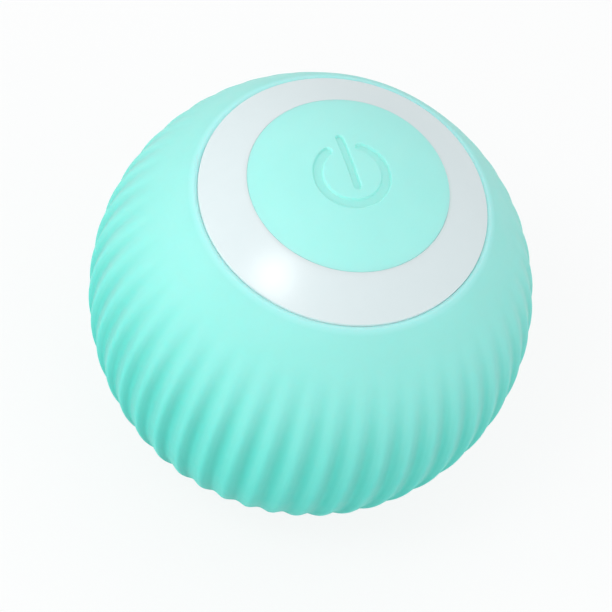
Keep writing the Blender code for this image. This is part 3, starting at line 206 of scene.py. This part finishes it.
# Heights of the relief that the materials add
FLUTE_RELIEF = 0.00024
SLEEVE_GRAIN = 0.000006
BUTTON_GRAIN = 0.000005
RING_GRAIN = 0.000001
BRUSHED_LINES = 0.000003
TRACK_RELIEF = 0.00003
WEAVE_RELIEF = 0.000004
LAMP_GRAIN = 0.000004
POUCH_DENTS = 0.0001
POUCH_CRINKLE = 0.00002
TAPE_PORES = 0.00004

# Yellow lens on the lamps: its height, and the width of its soft border
LENS_HEIGHT = 0.00045
LENS_BORDER = 0.0001

# Floor and surroundings
FLOOR_SIZE = 3
FLOOR_GAP = 0.00002
FLOOR_ROUGHNESS = 0.8
FLOOR_LIT = (0.50, 0.51, 0.51)
FLOOR_SEEN = (0.95, 0.95, 0.95)
FLOOR_GLOW = 0.84
WORLD_COLOUR = (0.97, 0.99, 1.0)
WORLD_STRENGTH = 0.735
WHITE = (1, 1, 1)

# Lamps: the side of the ball that each shines from, its size and its strength
LAMP_DISTANCE = 0.7
LAMPS = {
    "key": ((-0.33, -0.43, 0.84), 0.21, 0.13),
    "left": ((-0.92, -0.36, 0.05), 0.5, 0.46),
    "front": ((-0.30, -0.85, 0.35), 0.5, 0.12),
    "right": ((0.92, -0.30, 0.06), 0.5, 0.23),
    "back": ((-0.15, 0.75, 0.64), 0.5, 0.06),
}

# Camera, as the photograph was taken. The ball's centre lies a little right of and above the middle
FRAME_PIXELS = 612
SENSOR_WIDTH = 36
FOCAL_PIXELS = 6674
CAMERA_DISTANCE = 0.6462
VIEW_TILT = math.radians(34.5)
VIEW_ROLL = math.radians(19.1)
CENTRE_RIGHT = 0.00045
CENTRE_ABOVE = 0.00116


def fade(value, start, end):
    """0 before start, 1 after end, and smooth between."""
    share = min(max((value - start) / (end - start), 0), 1)
    return share * share * (3 - 2 * share)


def top_height(distance, depth=0):
    """Height above the ball's centre at this depth under the top dome, at a distance from the axis."""
    return math.sqrt((TOP_RADIUS - depth) ** 2 - distance**2) - TOP_DROP


def top_arc(start, end, count, depth=0):
    """Profile points at this depth under the top dome, between two distances from the axis."""
    radius = TOP_RADIUS - depth
    return arc(radius, math.asin(start / radius), math.asin(end / radius), count, (0, -TOP_DROP))


def arc(radius, start, end, count, centre=(0, 0)):
    """Profile points (distance from the axis, height) round a centre. Angles count from straight up."""
    points = []
    for step in range(count):
        angle = start + (end - start) * step / (count - 1)
        points.append((centre[0] + radius * math.sin(angle), centre[1] + radius * math.cos(angle)))
    return points


def spin(profile, steps, closed=True):
    """A profile turned about the rolling axis, in a bmesh at the ball's own height."""
    shape = bmesh.new()
    points = [shape.verts.new((distance, 0, height)) for distance, height in profile]
    pairs = list(zip(points, points[1:]))
    if closed:
        pairs.append((points[-1], points[0]))
    geometry = points + [shape.edges.new(pair) for pair in pairs]
    bmesh.ops.spin(
        shape,
        geom=geometry,
        axis=(0, 0, 1),
        cent=(0, 0, 0),
        steps=steps,
        angle=math.tau,
        use_merge=True,
    )
    bmesh.ops.remove_doubles(shape, verts=shape.verts[:], dist=WELD)
    bmesh.ops.recalc_face_normals(shape, faces=shape.faces[:])
    return shape


def pull_up(shape, rise):
    """Pulls a flat shape up into a solid."""
    raised = bmesh.ops.extrude_face_region(shape, geom=shape.faces[:])["geom"]
    corners = [item for item in raised if isinstance(item, bmesh.types.BMVert)]
    bmesh.ops.translate(shape, verts=corners, vec=(0, 0, rise))
    bmesh.ops.recalc_face_normals(shape, faces=shape.faces[:])


def slab(outline, low, high):
    """An outline pulled up from one height to another."""
    shape = bmesh.new()
    shape.faces.new([shape.verts.new((x, y, low)) for x, y in outline])
    pull_up(shape, high - low)
    return shape


def between(outer, inner, low, high):
    """A closed wall between two outlines with as many corners, pulled up from one height to another.

    Its flat ring is laid corner to corner, because bridge_loops would skew it between unlike outlines.
    """
    shape = bmesh.new()
    around, within = ([shape.verts.new((x, y, low)) for x, y in outline] for outline in (outer, inner))
    for face in zip(around, around[1:] + around[:1], within[1:] + within[:1], within):
        shape.faces.new(face)
    pull_up(shape, high - low)
    return shape


def joined(*shapes):
    """Several shapes as one."""
    whole = bmesh.new()
    for shape in shapes:
        mesh = bpy.data.meshes.new("part")
        shape.to_mesh(mesh)
        shape.free()
        whole.from_mesh(mesh)
        bpy.data.meshes.remove(mesh)
    return whole


def round_edges(shape, height, radius):
    """Rounds the edges of a shape at this height that turn a corner."""
    level = [edge for edge in shape.edges if all(abs(vert.co.z - height) < WELD for vert in edge.verts)]
    corners = [edge for edge in level if edge.calc_face_angle(0) > SMOOTH_ANGLE]
    bmesh.ops.bevel(
        shape,
        geom=corners,
        offset=radius,
        offset_type="OFFSET",
        affect="EDGES",
        segments=BEVEL_FACETS,
        profile=0.5,
        material=-1,
    )


def make(name, shape, body, slot, *nodes, smooth=SMOOTH_ANGLE):
    """Links a shape, raised to the ball's centre, as a piece that rides on a body.

    It has the finish of a material slot, and stands for the CAD nodes that are named.
    """
    bmesh.ops.translate(shape, verts=shape.verts[:], vec=CENTRE)
    mesh = bpy.data.meshes.new(name)
    shape.to_mesh(mesh)
    shape.free()
    mesh.shade_smooth()
    mesh.set_sharp_from_angle(angle=smooth)
    mesh.materials.append(FINISHES[slot])
    piece = bpy.data.objects.new(name, mesh)
    bpy.context.scene.collection.objects.link(piece)
    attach(piece, body)
    if nodes:
        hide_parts(*nodes)


# Materials


def plug(tree, value, socket):
    """Feeds a socket from another node's output, or sets a number, a direction or a colour on it."""
    if isinstance(value, bpy.types.NodeSocket):
        tree.links.new(value, socket)
    elif socket.type == "RGBA":
        socket.default_value = (*value, 1)
    else:
        socket.default_value = value


def add_node(tree, kind, inputs=None, **settings):
    """A new node with these settings, and with its inputs plugged, each by its name or number."""
    node = tree.nodes.new(kind)
    for name, value in settings.items():
        setattr(node, name, value)
    for place, value in (inputs or {}).items():
        plug(tree, value, node.inputs[place])
    return node


def arithmetic(tree, operation, first, second=0):
    """One step of arithmetic on two values, each a number or another node's output."""
    return add_node(tree, "ShaderNodeMath", {0: first, 1: second}, operation=operation).outputs["Value"]


class Finish:
    """A material under construction: its Principled shader, and short ways to add texture nodes."""

    def __init__(self, name, roughness, metallic=0):
        self.material = bpy.data.materials.new(name)
        self.material.use_nodes = True
        self.tree = self.material.node_tree
        self.shader = self.tree.nodes["Principled BSDF"]
        self.place = add_node(self.tree, "ShaderNodeTexCoord").outputs["Object"]
        self.roughness = roughness
        self.set(Roughness=roughness, Metallic=metallic)

    def set(self, **values):
        """Plugs the shader's own sockets, which are named with _ for a space."""
        for name, value in values.items():
            plug(self.tree, value, self.shader.inputs[name.replace("_", " ")])

    def axes(self):
        """The Object coordinates, each by its letter."""
        return add_node(self.tree, "ShaderNodeSeparateXYZ", {"Vector": self.place}).outputs

    def attribute(self, name):
        """A value that the piece carries on its points."""
        return add_node(self.tree, "ShaderNodeAttribute", attribute_name=name).outputs["Fac"]

    def noise(self, size, detail, stretch=(1, 1, 1)):
        """Cloudy noise of this size in metres, drawn out along an axis by a stretch below 1."""
        mapping = add_node(self.tree, "ShaderNodeMapping", {"Vector": self.place, "Scale": stretch})
        inputs = {"Vector": mapping.outputs["Vector"], "Scale": 1 / size, "Detail": detail}
        return add_node(self.tree, "ShaderNodeTexNoise", inputs).outputs["Fac"]

    def cells(self, size, feature):
        """Distance within cells of this size in metres, from the middle or the edge that feature names."""
        inputs = {"Vector": self.place, "Scale": 1 / size}
        return add_node(self.tree, "ShaderNodeTexVoronoi", inputs, feature=feature).outputs["Distance"]

    def levels(self, factor, low=0, high=1, start=0.3, end=0.7):
        """Maps a factor between start and end onto values from low to high."""
        inputs = {"Value": factor, "From Min": start, "From Max": end, "To Min": low, "To Max": high}
        return add_node(self.tree, "ShaderNodeMapRange", inputs).outputs["Result"]

    def blend(self, factor, first, second):
        """A colour between two, each a colour or another node's output."""
        inputs = {"Factor": factor, "A": first, "B": second}
        return add_node(self.tree, "ShaderNodeMix", inputs, data_type="RGBA").outputs["Result"]

    def vary(self, pattern, below, above):
        """Lets the roughness wander along a pattern, so far below and above its own value."""
        self.set(Roughness=self.levels(pattern, self.roughness - below, self.roughness + above))

    def bump(self, *layers):
        """Height layers, each (factor, height in metres), stacked on each other."""
        inputs = {}
        for factor, height in layers:
            inputs |= {"Height": factor, "Distance": height}
            inputs["Normal"] = add_node(self.tree, "ShaderNodeBump", inputs).outputs["Normal"]
        self.set(Normal=inputs["Normal"])


def shade(colour, share):
    """A colour made lighter or darker by a share."""
    return tuple(min(channel * share, 1) for channel in colour)


def flute_wave(finish):
    """1 along the flutes' ridges, -1 along the bottoms between them, and 0 where the sleeve is smooth."""
    axes = finish.axes()
    around = arithmetic(finish.tree, "ARCTAN2", axes["Y"], axes["X"])
    past_crest = arithmetic(finish.tree, "SUBTRACT", around, FLUTE_CREST_ANGLE)
    wave = arithmetic(finish.tree, "COSINE", arithmetic(finish.tree, "MULTIPLY", past_crest, FLUTES))
    return arithmetic(finish.tree, "MULTIPLY", wave, finish.attribute("fluted"))


def silicone():
    """Soft mint silicone: painted shade deepens its colour down the ball and in its flutes, and a painted
    glow pales its lip.
    """
    finish = Finish("sleeve_silicone", roughness=0.5)
    wave = flute_wave(finish)
    clouds = finish.levels(finish.noise(size=0.006, detail=4))
    collar = finish.blend(clouds, *COLLAR_MINT)
    # Painted shade: the sleeve is blended towards a darker mint down the ball
    low = finish.blend(clouds, *LOW_PAINTED_SHADE_MINT)
    outside = finish.blend(finish.attribute("low_painted_shade"), collar, low)
    # Painted shade: the flute bottoms are darkened in colour
    painted_crease_shade = finish.levels(wave, low=PAINTED_CREASE_SHADE_SHARE, high=0, start=-1, end=0)
    fluted = finish.blend(painted_crease_shade, outside, PAINTED_CREASE_SHADE_MINT)
    # Painted glow: the lip is paled where light would fill it
    finish.set(Base_Color=finish.blend(finish.attribute("lip"), fluted, PAINTED_LIP_GLOW_MINT))
    finish.vary(finish.noise(size=0.0011, detail=4), below=0.03, above=0.07)
    grain = finish.noise(size=0.00016, detail=2)
    dimples = finish.noise(size=0.0015, detail=2)
    finish.bump((wave, FLUTE_RELIEF), (grain, SLEEVE_GRAIN), (dimples, SLEEVE_GRAIN))
    finish.set(Subsurface_Weight=0.45, Subsurface_Scale=0.0015, Subsurface_Radius=MINT_REACH)
    finish.set(Specular_IOR_Level=0.15, Sheen_Weight=0.10, Sheen_Roughness=0.5)
    return finish.material


def soft_touch():
    """The button's soft-touch mint plastic, faintly mottled, and even in the sunk sign."""
    finish = Finish("button_mint", roughness=0.42)
    disc = finish.blend(finish.levels(finish.noise(size=0.004, detail=4)), *DISC_MINT)
    finish.set(Base_Color=finish.blend(finish.attribute("sunk"), disc, SIGN_MINT))
    finish.vary(finish.noise(size=0.0009, detail=4), below=0.04, above=0.04)
    finish.bump((finish.noise(size=0.00013, detail=2), BUTTON_GRAIN))
    finish.set(Subsurface_Weight=0.3, Subsurface_Scale=0.0010, Subsurface_Radius=MINT_REACH)
    finish.set(Specular_IOR_Level=0.6)
    return finish.material


def milky():
    """The light ring's milky plastic, smooth enough for a soft highlight."""
    finish = Finish("ring_milky", roughness=0.28)
    finish.set(Base_Color=finish.blend(finish.noise(size=0.0015, detail=6), *RING_MILK))
    finish.vary(finish.noise(size=0.0030, detail=4), below=0.005, above=0.005)
    finish.bump((finish.noise(size=0.0020, detail=1), RING_GRAIN))
    finish.set(Subsurface_Weight=0.2, Subsurface_Scale=0.0010, Subsurface_Radius=RING_REACH)
    finish.set(Specular_IOR_Level=1.0)
    return finish.material


def moulding(name, colour, roughness, grain):
    """A moulded plastic: faint flow marks, and a fine grain of this height in metres."""
    finish = Finish(name, roughness)
    flow = finish.levels(finish.noise(size=0.0035, detail=4, stretch=(1, 1, 0.4)))
    finish.set(Base_Color=finish.blend(flow, shade(colour, 0.96), shade(colour, 1.04)))
    finish.vary(finish.noise(size=0.0007, detail=3), below=0.05, above=0.06)
    finish.bump((finish.noise(size=0.00012, detail=2), grain), (finish.noise(size=0.002, detail=2), grain))
    return finish.material


def brushed(name, colour, roughness, stretch):
    """A metal with fine lines drawn out along the axis that stretch names, and a few duller spots."""
    finish = Finish(name, roughness, metallic=1)
    lines = finish.noise(size=0.00012, detail=2, stretch=stretch)
    stain = finish.levels(finish.noise(size=0.002, detail=4), start=0.45)
    finish.set(Base_Color=finish.blend(stain, colour, shade(colour, 0.86)))
    finish.vary(lines, below=0.06, above=0.10)
    finish.bump((lines, BRUSHED_LINES))
    return finish.material


def solder_mask():
    """Green lacquer over copper tracks: the tracks stand a little proud and lighter."""
    finish = Finish("board_green", roughness=0.28)
    borders = finish.cells(size=0.0013, feature="DISTANCE_TO_EDGE")
    tracks = finish.levels(borders, low=1, high=0, start=0.04, end=0.07)
    weave = finish.levels(finish.noise(size=0.0004, detail=2))
    finish.set(Base_Color=finish.blend(tracks, finish.blend(weave, *LACQUER_GREEN), TRACK_GREEN))
    finish.vary(weave, below=0.04, above=0.06)
    finish.bump((tracks, TRACK_RELIEF), (weave, WEAVE_RELIEF))
    finish.set(Coat_Weight=0.5)
    return finish.material


def lamp_body():
    """White moulded lamp with a yellowish lens on its upper part."""
    finish = Finish("lamp_white", roughness=0.35)
    lens_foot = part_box("light_led_1")[1][2] - LENS_HEIGHT
    lens = finish.levels(finish.axes()["Z"], start=lens_foot, end=lens_foot + LENS_BORDER)
    finish.set(Base_Color=finish.blend(lens, LAMP_WHITE, LENS_YELLOW))
    finish.vary(finish.noise(size=0.0006, detail=3), below=0.07, above=0.07)
    finish.bump((finish.noise(size=0.0002, detail=2), LAMP_GRAIN))
    finish.set(Subsurface_Weight=0.2, Subsurface_Scale=0.0008)
    return finish.material


def pouch():
    """Foil pouch: shallow dents, and a fine crinkle."""
    finish = Finish("pouch_silver", roughness=0.32, metallic=0.9)
    crinkle = finish.cells(size=0.0011, feature="DISTANCE_TO_EDGE")
    finish.set(Base_Color=finish.blend(finish.levels(finish.noise(size=0.003, detail=4)), *FOIL_SILVER))
    finish.vary(finish.noise(size=0.0009, detail=3), below=0.06, above=0.10)
    finish.bump((finish.noise(size=0.004, detail=2), POUCH_DENTS), (crinkle, POUCH_CRINKLE))
    return finish.material


def foam():
    """Blue foam tape with open pores, which are painted darker as painted shade."""
    finish = Finish("tape_blue", roughness=0.9)
    pores = finish.cells(size=0.00018, feature="F1")
    # Painted shade: the foam is darker at the middle of each pore
    finish.set(Base_Color=finish.blend(finish.levels(pores, low=1, high=0), *TAPE_BLUE))
    finish.vary(pores, below=0.06, above=0.05)
    finish.bump((pores, TAPE_PORES))
    return finish.material


FINISHES = {
    "sleeve_silicone": silicone(),
    "button_mint": soft_touch(),
    "ring_milky": milky(),
    "shell_white": moulding("shell_white", SHELL_WHITE, roughness=0.42, grain=0.000004),
    "acetal_natural": moulding("acetal_natural", ACETAL_NATURAL, roughness=0.38, grain=0.000003),
    "acetal_grey": moulding("acetal_grey", ACETAL_GREY, roughness=0.40, grain=0.000003),
    "frame_grey": moulding("frame_grey", FRAME_GREY, roughness=0.48, grain=0.000006),
    "steel": brushed("steel", STEEL_GREY, roughness=0.28, stretch=(1, 1, 0.04)),
    "brass": brushed("brass", BRASS_YELLOW, roughness=0.26, stretch=(1, 1, 0.05)),
    "board_green": solder_mask(),
    "chip_black": moulding("chip_black", CHIP_BLACK, roughness=0.55, grain=0.000008),
    "motor_black": moulding("motor_black", MOTOR_BLACK, roughness=0.42, grain=0.000004),
    "lamp_white": lamp_body(),
    "pouch_silver": pouch(),
    "tape_blue": foam(),
}
for node in frame["nodes"].values():
    node.material_slots[0].material = FINISHES[node.material_slots[0].material.name.split(".")[0]]


# Pieces


def flute_strength(down):
    """0 on the collar and at the foot, and 1 at full depth between them, by the angle down from the top."""
    return fade(down, COLLAR_END, FLUTES_FULL) * (1 - fade(down, FLUTES_FALL, FLUTES_END))


def flute_share(point):
    """0 along the ridges and 1 along the bottoms between them."""
    around = math.atan2(point.y, point.x) - FLUTE_CREST_ANGLE
    return (1 - math.cos(FLUTES * around)) / 2


def sleeve_profile():
    """The sleeve's wall, from its rounded lip down the outside, round the foot and up the inside."""
    lip_centre = Vector((LIP_DISTANCE, top_height(LIP_DISTANCE, LIP_ROUND - LIP_RISE)))
    lip_angle = math.atan2(*lip_centre)
    lip = arc(LIP_ROUND, LIP_START, lip_angle, LIP_POINTS, lip_centre)
    shoulder = (lip_centre.length + LIP_ROUND) / BALL_RADIUS - 1
    upper = []
    for distance, height in arc(BALL_RADIUS, lip_angle, FLUTES_FULL, SHOULDER_POINTS):
        raised = 1 + shoulder * (1 - fade(math.atan2(distance, height), lip_angle, SHOULDER_END))
        upper.append((distance * raised, height * raised))
    sole_angle = math.acos(-CENTRE_HEIGHT / BALL_RADIUS)
    side = arc(BALL_RADIUS, FLUTES_FULL, FLUTES_FALL, SIDE_POINTS)
    fall = arc(BALL_RADIUS, FLUTES_FALL, sole_angle, FALL_POINTS)
    foot_middle = (SOLE_HOLE_RADIUS + SOLE_ROUND, SOLE_ROUND - CENTRE_HEIGHT)
    foot = arc(SOLE_ROUND, 2 * QUARTER, 3 * QUARTER, EDGE_POINTS, foot_middle)
    inner = BALL_RADIUS - SLEEVE_WALL
    hole_angle = math.pi - math.asin(SOLE_HOLE_RADIUS / inner)
    inside = arc(inner, hole_angle, math.asin(WINDOW_RADIUS / inner), INSIDE_POINTS)
    return lip + upper[1:] + side[1:] + fall[1:] + foot + inside


def silicone_skin():
    """The sleeve, with its flutes pressed in, and the values that its material reads on its points."""
    shape = spin(sleeve_profile(), FLUTES * STEPS_PER_FLUTE)
    low_painted_shade, fluted, lip = (shape.verts.layers.float.new(name) for name in ("low_painted_shade", "fluted", "lip"))
    mid_wall = BALL_RADIUS - SLEEVE_WALL / 2
    for vert in shape.verts:
        if vert.co.length < mid_wall:
            continue
        distance = vert.co.xy.length
        down = math.atan2(distance, vert.co.z)
        # Painted shade: how far the sleeve's colour darkens down the ball
        vert[low_painted_shade] = PAINTED_SHADE_SHARE * fade(down, PAINTED_SHADE_START, PAINTED_SHADE_END)
        vert[fluted] = flute_strength(down)
        # Painted glow: paler near the window's lip
        if vert.co.z > 0:
            vert[lip] = 1 - fade(distance, LIP_DISTANCE, LIP_DISTANCE + LIP_GLOW_WIDTH)
        vert.co -= vert.co.normalized() * FLUTE_DEPTH * vert[fluted] * flute_share(vert.co)
    make("silicone_skin", shape, "rolling_shell", "sleeve_silicone", "silicone_sleeve")


def light_lens():
    """The milky ring, domed with the ball's top and hollow below, with a catch for the button."""
    outer = RING_OUTER_RADIUS - RING_EDGE_ROUND
    inner = RING_INNER_RADIUS + RING_EDGE_ROUND
    outer_angle = math.asin(outer / (TOP_RADIUS - RING_EDGE_ROUND))
    inner_angle = math.asin(inner / (TOP_RADIUS - RING_EDGE_ROUND))
    outer_edge = (outer, top_height(outer, RING_EDGE_ROUND))
    inner_edge = (inner, top_height(inner, RING_EDGE_ROUND))
    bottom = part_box("light_ring")[0][2] - CENTRE_HEIGHT
    catch = bottom + CATCH_RISE
    outer_wall = RING_OUTER_RADIUS - RING_WALL
    inner_wall = RING_INNER_RADIUS + RING_WALL
    profile = (
        [(RING_OUTER_RADIUS, bottom)]
        + arc(RING_EDGE_ROUND, QUARTER, outer_angle, EDGE_POINTS, outer_edge)
        + top_arc(outer, inner, DOME_POINTS)[1:-1]
        + arc(RING_EDGE_ROUND, inner_angle, -QUARTER, EDGE_POINTS, inner_edge)
        + [(RING_INNER_RADIUS, catch + 2 * CATCH_HEIGHT), (CATCH_RADIUS, catch + CATCH_HEIGHT)]
        + [(CATCH_RADIUS, catch), (RING_INNER_RADIUS, catch)]
        + [(RING_INNER_RADIUS, bottom), (inner_wall, bottom)]
        + top_arc(inner_wall, outer_wall, RING_HOLLOW_POINTS, RING_WALL)
        + [(outer_wall, bottom)]
    )
    make("light_lens", spin(profile, RING_STEPS), "rolling_shell", "ring_milky", "light_ring")


def stroke_distance(place):
    """Distance of a place on the disc from the edge of the sign's nearest stroke, negative inside it."""
    if SIGN_GAP_START < math.atan2(place.y, place.x) < SIGN_GAP_END:
        angles = (SIGN_GAP_START, SIGN_GAP_END)
        ends = [SIGN_RADIUS * Vector((math.cos(angle), math.sin(angle))) for angle in angles]
        from_circle = min((place - end).length for end in ends)
    else:
        from_circle = abs(place.length - SIGN_RADIUS)
    way = SIGN_BAR_OUTER - SIGN_BAR_INNER
    share = min(max((place - SIGN_BAR_INNER).dot(way) / way.length_squared, 0), 1)
    from_bar = (place - SIGN_BAR_INNER - way * share).length
    return min(from_circle - SIGN_STROKE / 2, from_bar - SIGN_BAR_WIDTH / 2)


def soft_button():
    """The domed disc, a trace higher on one side, with its skirt, hook and stem.

    The power sign is sunk into the middle of the dome, where the mesh is fine.
    """
    outer = BUTTON_RADIUS - BUTTON_EDGE_ROUND
    edge_angle = math.asin(outer / (TOP_RADIUS - BUTTON_EDGE_ROUND))
    edge_centre = (outer, top_height(outer, BUTTON_EDGE_ROUND))
    rim = top_height(BUTTON_RADIUS) - BUTTON_RIM
    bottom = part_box("light_ring")[0][2] - CENTRE_HEIGHT + SKIRT_RISE
    skirt_inner = SKIRT_RADIUS - SKIRT_WALL
    stem_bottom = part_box("button_cap")[0][2] - CENTRE_HEIGHT
    profile = (
        top_arc(0, SIGN_REACH, round(SIGN_REACH / SIGN_GRID))
        + top_arc(SIGN_REACH, outer, DOME_POINTS)[1:-1]
        + arc(BUTTON_EDGE_ROUND, edge_angle, QUARTER, EDGE_POINTS, edge_centre)
        + [(BUTTON_RADIUS, rim), (SKIRT_RADIUS, rim - BUTTON_RADIUS + SKIRT_RADIUS)]
        + [(SKIRT_RADIUS, bottom + CATCH_HEIGHT), (HOOK_RADIUS, bottom + CATCH_HEIGHT)]
        + [(HOOK_RADIUS, bottom), (skirt_inner, bottom)]
        + top_arc(skirt_inner, STEM_RADIUS, BUTTON_HOLLOW_POINTS, BUTTON_WALL)
        + [(STEM_RADIUS, stem_bottom), (0, stem_bottom)]
    )
    shape = spin(profile, BUTTON_STEPS, closed=False)
    middle = top_height(SIGN_REACH, BUTTON_WALL / 2)
    sunk = shape.verts.layers.float.new("sunk")
    for vert in shape.verts:
        place = vert.co.xy
        if vert.co.z > rim + WELD:
            vert.co.z += DISC_RISE * fade(place.dot(DISC_HIGH_SIDE), 0, BUTTON_RADIUS)
        if vert.co.z > middle and place.length < SIGN_REACH:
            vert[sunk] = 1 - fade(stroke_distance(place), -SIGN_SLOPE / 2, SIGN_SLOPE / 2)
            vert.co -= vert.co.normalized() * SIGN_DEPTH * vert[sunk]
    make("soft_button", shape, "button", "button_mint", "button_cap")


def circle(radius, count):
    """A round outline."""
    angles = [math.tau * step / count for step in range(count)]
    return [(radius * math.cos(angle), radius * math.sin(angle)) for angle in angles]


def stadium(width, length):
    """A socket's outline, with round ends and long along Y.

    Seen from its middle, its corners lie in the same directions as those of a circle.
    """
    radius = width / 2
    straight = length / 2 - radius
    points = []
    for across, along in circle(1, SOCKET_STEPS):
        reach = straight * abs(along)
        if straight * abs(across) > radius * abs(along):
            reach = radius / abs(across)
        else:
            reach += math.sqrt(radius**2 - (straight * across) ** 2)
        points.append((reach * across, reach * along))
    return points


def oblong(width, length, middle=(0, 0)):
    """A plain rectangle's corners, long along Y."""
    corners = ((width, -length), (width, length), (-width, length), (-width, -length))
    return [(middle[0] + x / 2, middle[1] + y / 2) for x, y in corners]


def charging_end():
    """The cap round the socket, the socket's shell and tongue, and the contacts on the tongue."""
    cap_low, cap_high = (Vector(corner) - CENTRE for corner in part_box("port_cap"))
    low, high = (Vector(corner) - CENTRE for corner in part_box("usb_c_socket"))
    width, length = high.x - low.x, high.y - low.y
    mouth = stadium(width + 2 * SOCKET_GAP, length + 2 * SOCKET_GAP)
    cap = between(circle(cap_high.x, SOCKET_STEPS), mouth, cap_low.z, cap_high.z)
    round_edges(cap, cap_low.z, CAP_ROUND)
    make("charge_cap", cap, "drive_carriage", "shell_white", "port_cap", smooth=FLAT_PIECE_ANGLE)

    back = low.z + SOCKET_DEPTH
    inner = stadium(width - 2 * SOCKET_WALL, length - 2 * SOCKET_WALL)
    shell = between(stadium(width, length), inner, low.z, back)
    round_edges(shell, low.z, SOCKET_ROUND)
    socket = joined(shell, slab(stadium(width, length), back, high.z))
    make("charge_socket", socket, "drive_carriage", "steel", "usb_c_socket", smooth=FLAT_PIECE_ANGLE)

    tongue_end = low.z + TONGUE_SETBACK
    tongue = slab(oblong(TONGUE_THICKNESS, TONGUE_WIDTH), tongue_end, back)
    round_edges(tongue, tongue_end, TONGUE_ROUND)
    make("charge_tongue", tongue, "drive_carriage", "chip_black", smooth=FLAT_PIECE_ANGLE)

    contact_end = tongue_end + CONTACT_SETBACK
    strips = []
    for number in range(CONTACTS):
        across = CONTACT_PITCH * (number - (CONTACTS - 1) / 2)
        outline = oblong(TONGUE_THICKNESS + 2 * CONTACT_PROUD, CONTACT_WIDTH, (0, across))
        strips.append(slab(outline, contact_end, contact_end + CONTACT_LENGTH))
    make("charge_contacts", joined(*strips), "drive_carriage", "brass")


silicone_skin()
light_lens()
soft_button()
charging_end()


# Stage


def background_rays(tree):
    """1 for rays by which the background is seen: straight from the camera, in gloss or through glass."""
    path = add_node(tree, "ShaderNodeLightPath")
    seen = path.outputs["Is Camera Ray"]
    for name in ("Is Glossy Ray", "Is Transmission Ray"):
        seen = arithmetic(tree, "MAXIMUM", seen, path.outputs[name])
    return seen


def show_behind(tree, share, usual, shown, output):
    """Feeds an output with its usual shader, and by this share with one that is shown as background."""
    mix = add_node(tree, "ShaderNodeMixShader", {"Fac": share, 1: usual, 2: shown})
    tree.links.new(mix.outputs["Shader"], tree.nodes[output].inputs["Surface"])


def floor():
    """A wide pale floor, which shows white and keeps the ball's shadow, and throws little light back up."""
    shape = bmesh.new()
    below = Matrix.Translation((0, 0, -FLOOR_GAP))
    bmesh.ops.create_grid(shape, x_segments=1, y_segments=1, size=FLOOR_SIZE, matrix=below)
    mesh = bpy.data.meshes.new("floor")
    shape.to_mesh(mesh)
    shape.free()
    finish = Finish("floor", FLOOR_ROUGHNESS)
    tree = finish.tree
    seen = background_rays(tree)
    finish.set(Base_Color=finish.blend(seen, FLOOR_LIT, FLOOR_SEEN), Specular_IOR_Level=0)
    glow = add_node(tree, "ShaderNodeEmission").outputs["Emission"]
    share = arithmetic(tree, "MULTIPLY", seen, FLOOR_GLOW)
    show_behind(tree, share, finish.shader.outputs["BSDF"], glow, "Material Output")
    mesh.materials.append(finish.material)
    sheet = bpy.data.objects.new("floor", mesh)
    bpy.context.scene.collection.objects.link(sheet)


def lamp(name, direction, size, strength):
    """A round soft light on the ball. At strength 1 a white surface that faces it renders white."""
    light = bpy.data.lights.new(name, "AREA")
    light.shape = "DISK"
    light.size = size
    light.energy = strength * math.pi**2 * LAMP_DISTANCE**2
    holder = bpy.data.objects.new(name, light)
    way = Vector(direction).normalized()
    turn = way.to_track_quat("Z", "Y").to_matrix().to_4x4()
    holder.matrix_world = Matrix.Translation(CENTRE + way * LAMP_DISTANCE) @ turn
    bpy.context.scene.collection.objects.link(holder)


def world():
    """Even light from all round, white where the background is seen past the floor."""
    surroundings = bpy.data.worlds.new("studio")
    surroundings.use_nodes = True
    tree = surroundings.node_tree
    light = tree.nodes["Background"]
    plug(tree, WORLD_COLOUR, light.inputs["Color"])
    plug(tree, WORLD_STRENGTH, light.inputs["Strength"])
    white = add_node(tree, "ShaderNodeBackground", {"Color": WHITE}).outputs["Background"]
    show_behind(tree, background_rays(tree), light.outputs["Background"], white, "World Output")
    bpy.context.scene.world = surroundings


def camera():
    """The photograph's view, tilted and turned as it was taken."""
    view = bpy.data.cameras.new("camera")
    view.sensor_width = SENSOR_WIDTH
    view.lens = SENSOR_WIDTH * FOCAL_PIXELS / FRAME_PIXELS
    holder = bpy.data.objects.new("camera", view)
    turn = Matrix.Rotation(VIEW_TILT, 4, "X") @ Matrix.Rotation(VIEW_ROLL, 4, "Z")
    back = Matrix.Translation((-CENTRE_RIGHT, -CENTRE_ABOVE, CAMERA_DISTANCE))
    holder.matrix_world = Matrix.Translation(CENTRE) @ turn @ back
    bpy.context.scene.collection.objects.link(holder)
    bpy.context.scene.camera = holder


floor()
for lamp_name, values in LAMPS.items():
    lamp(lamp_name, *values)
world()
camera()
bpy.context.scene.view_settings.view_transform = "Standard"
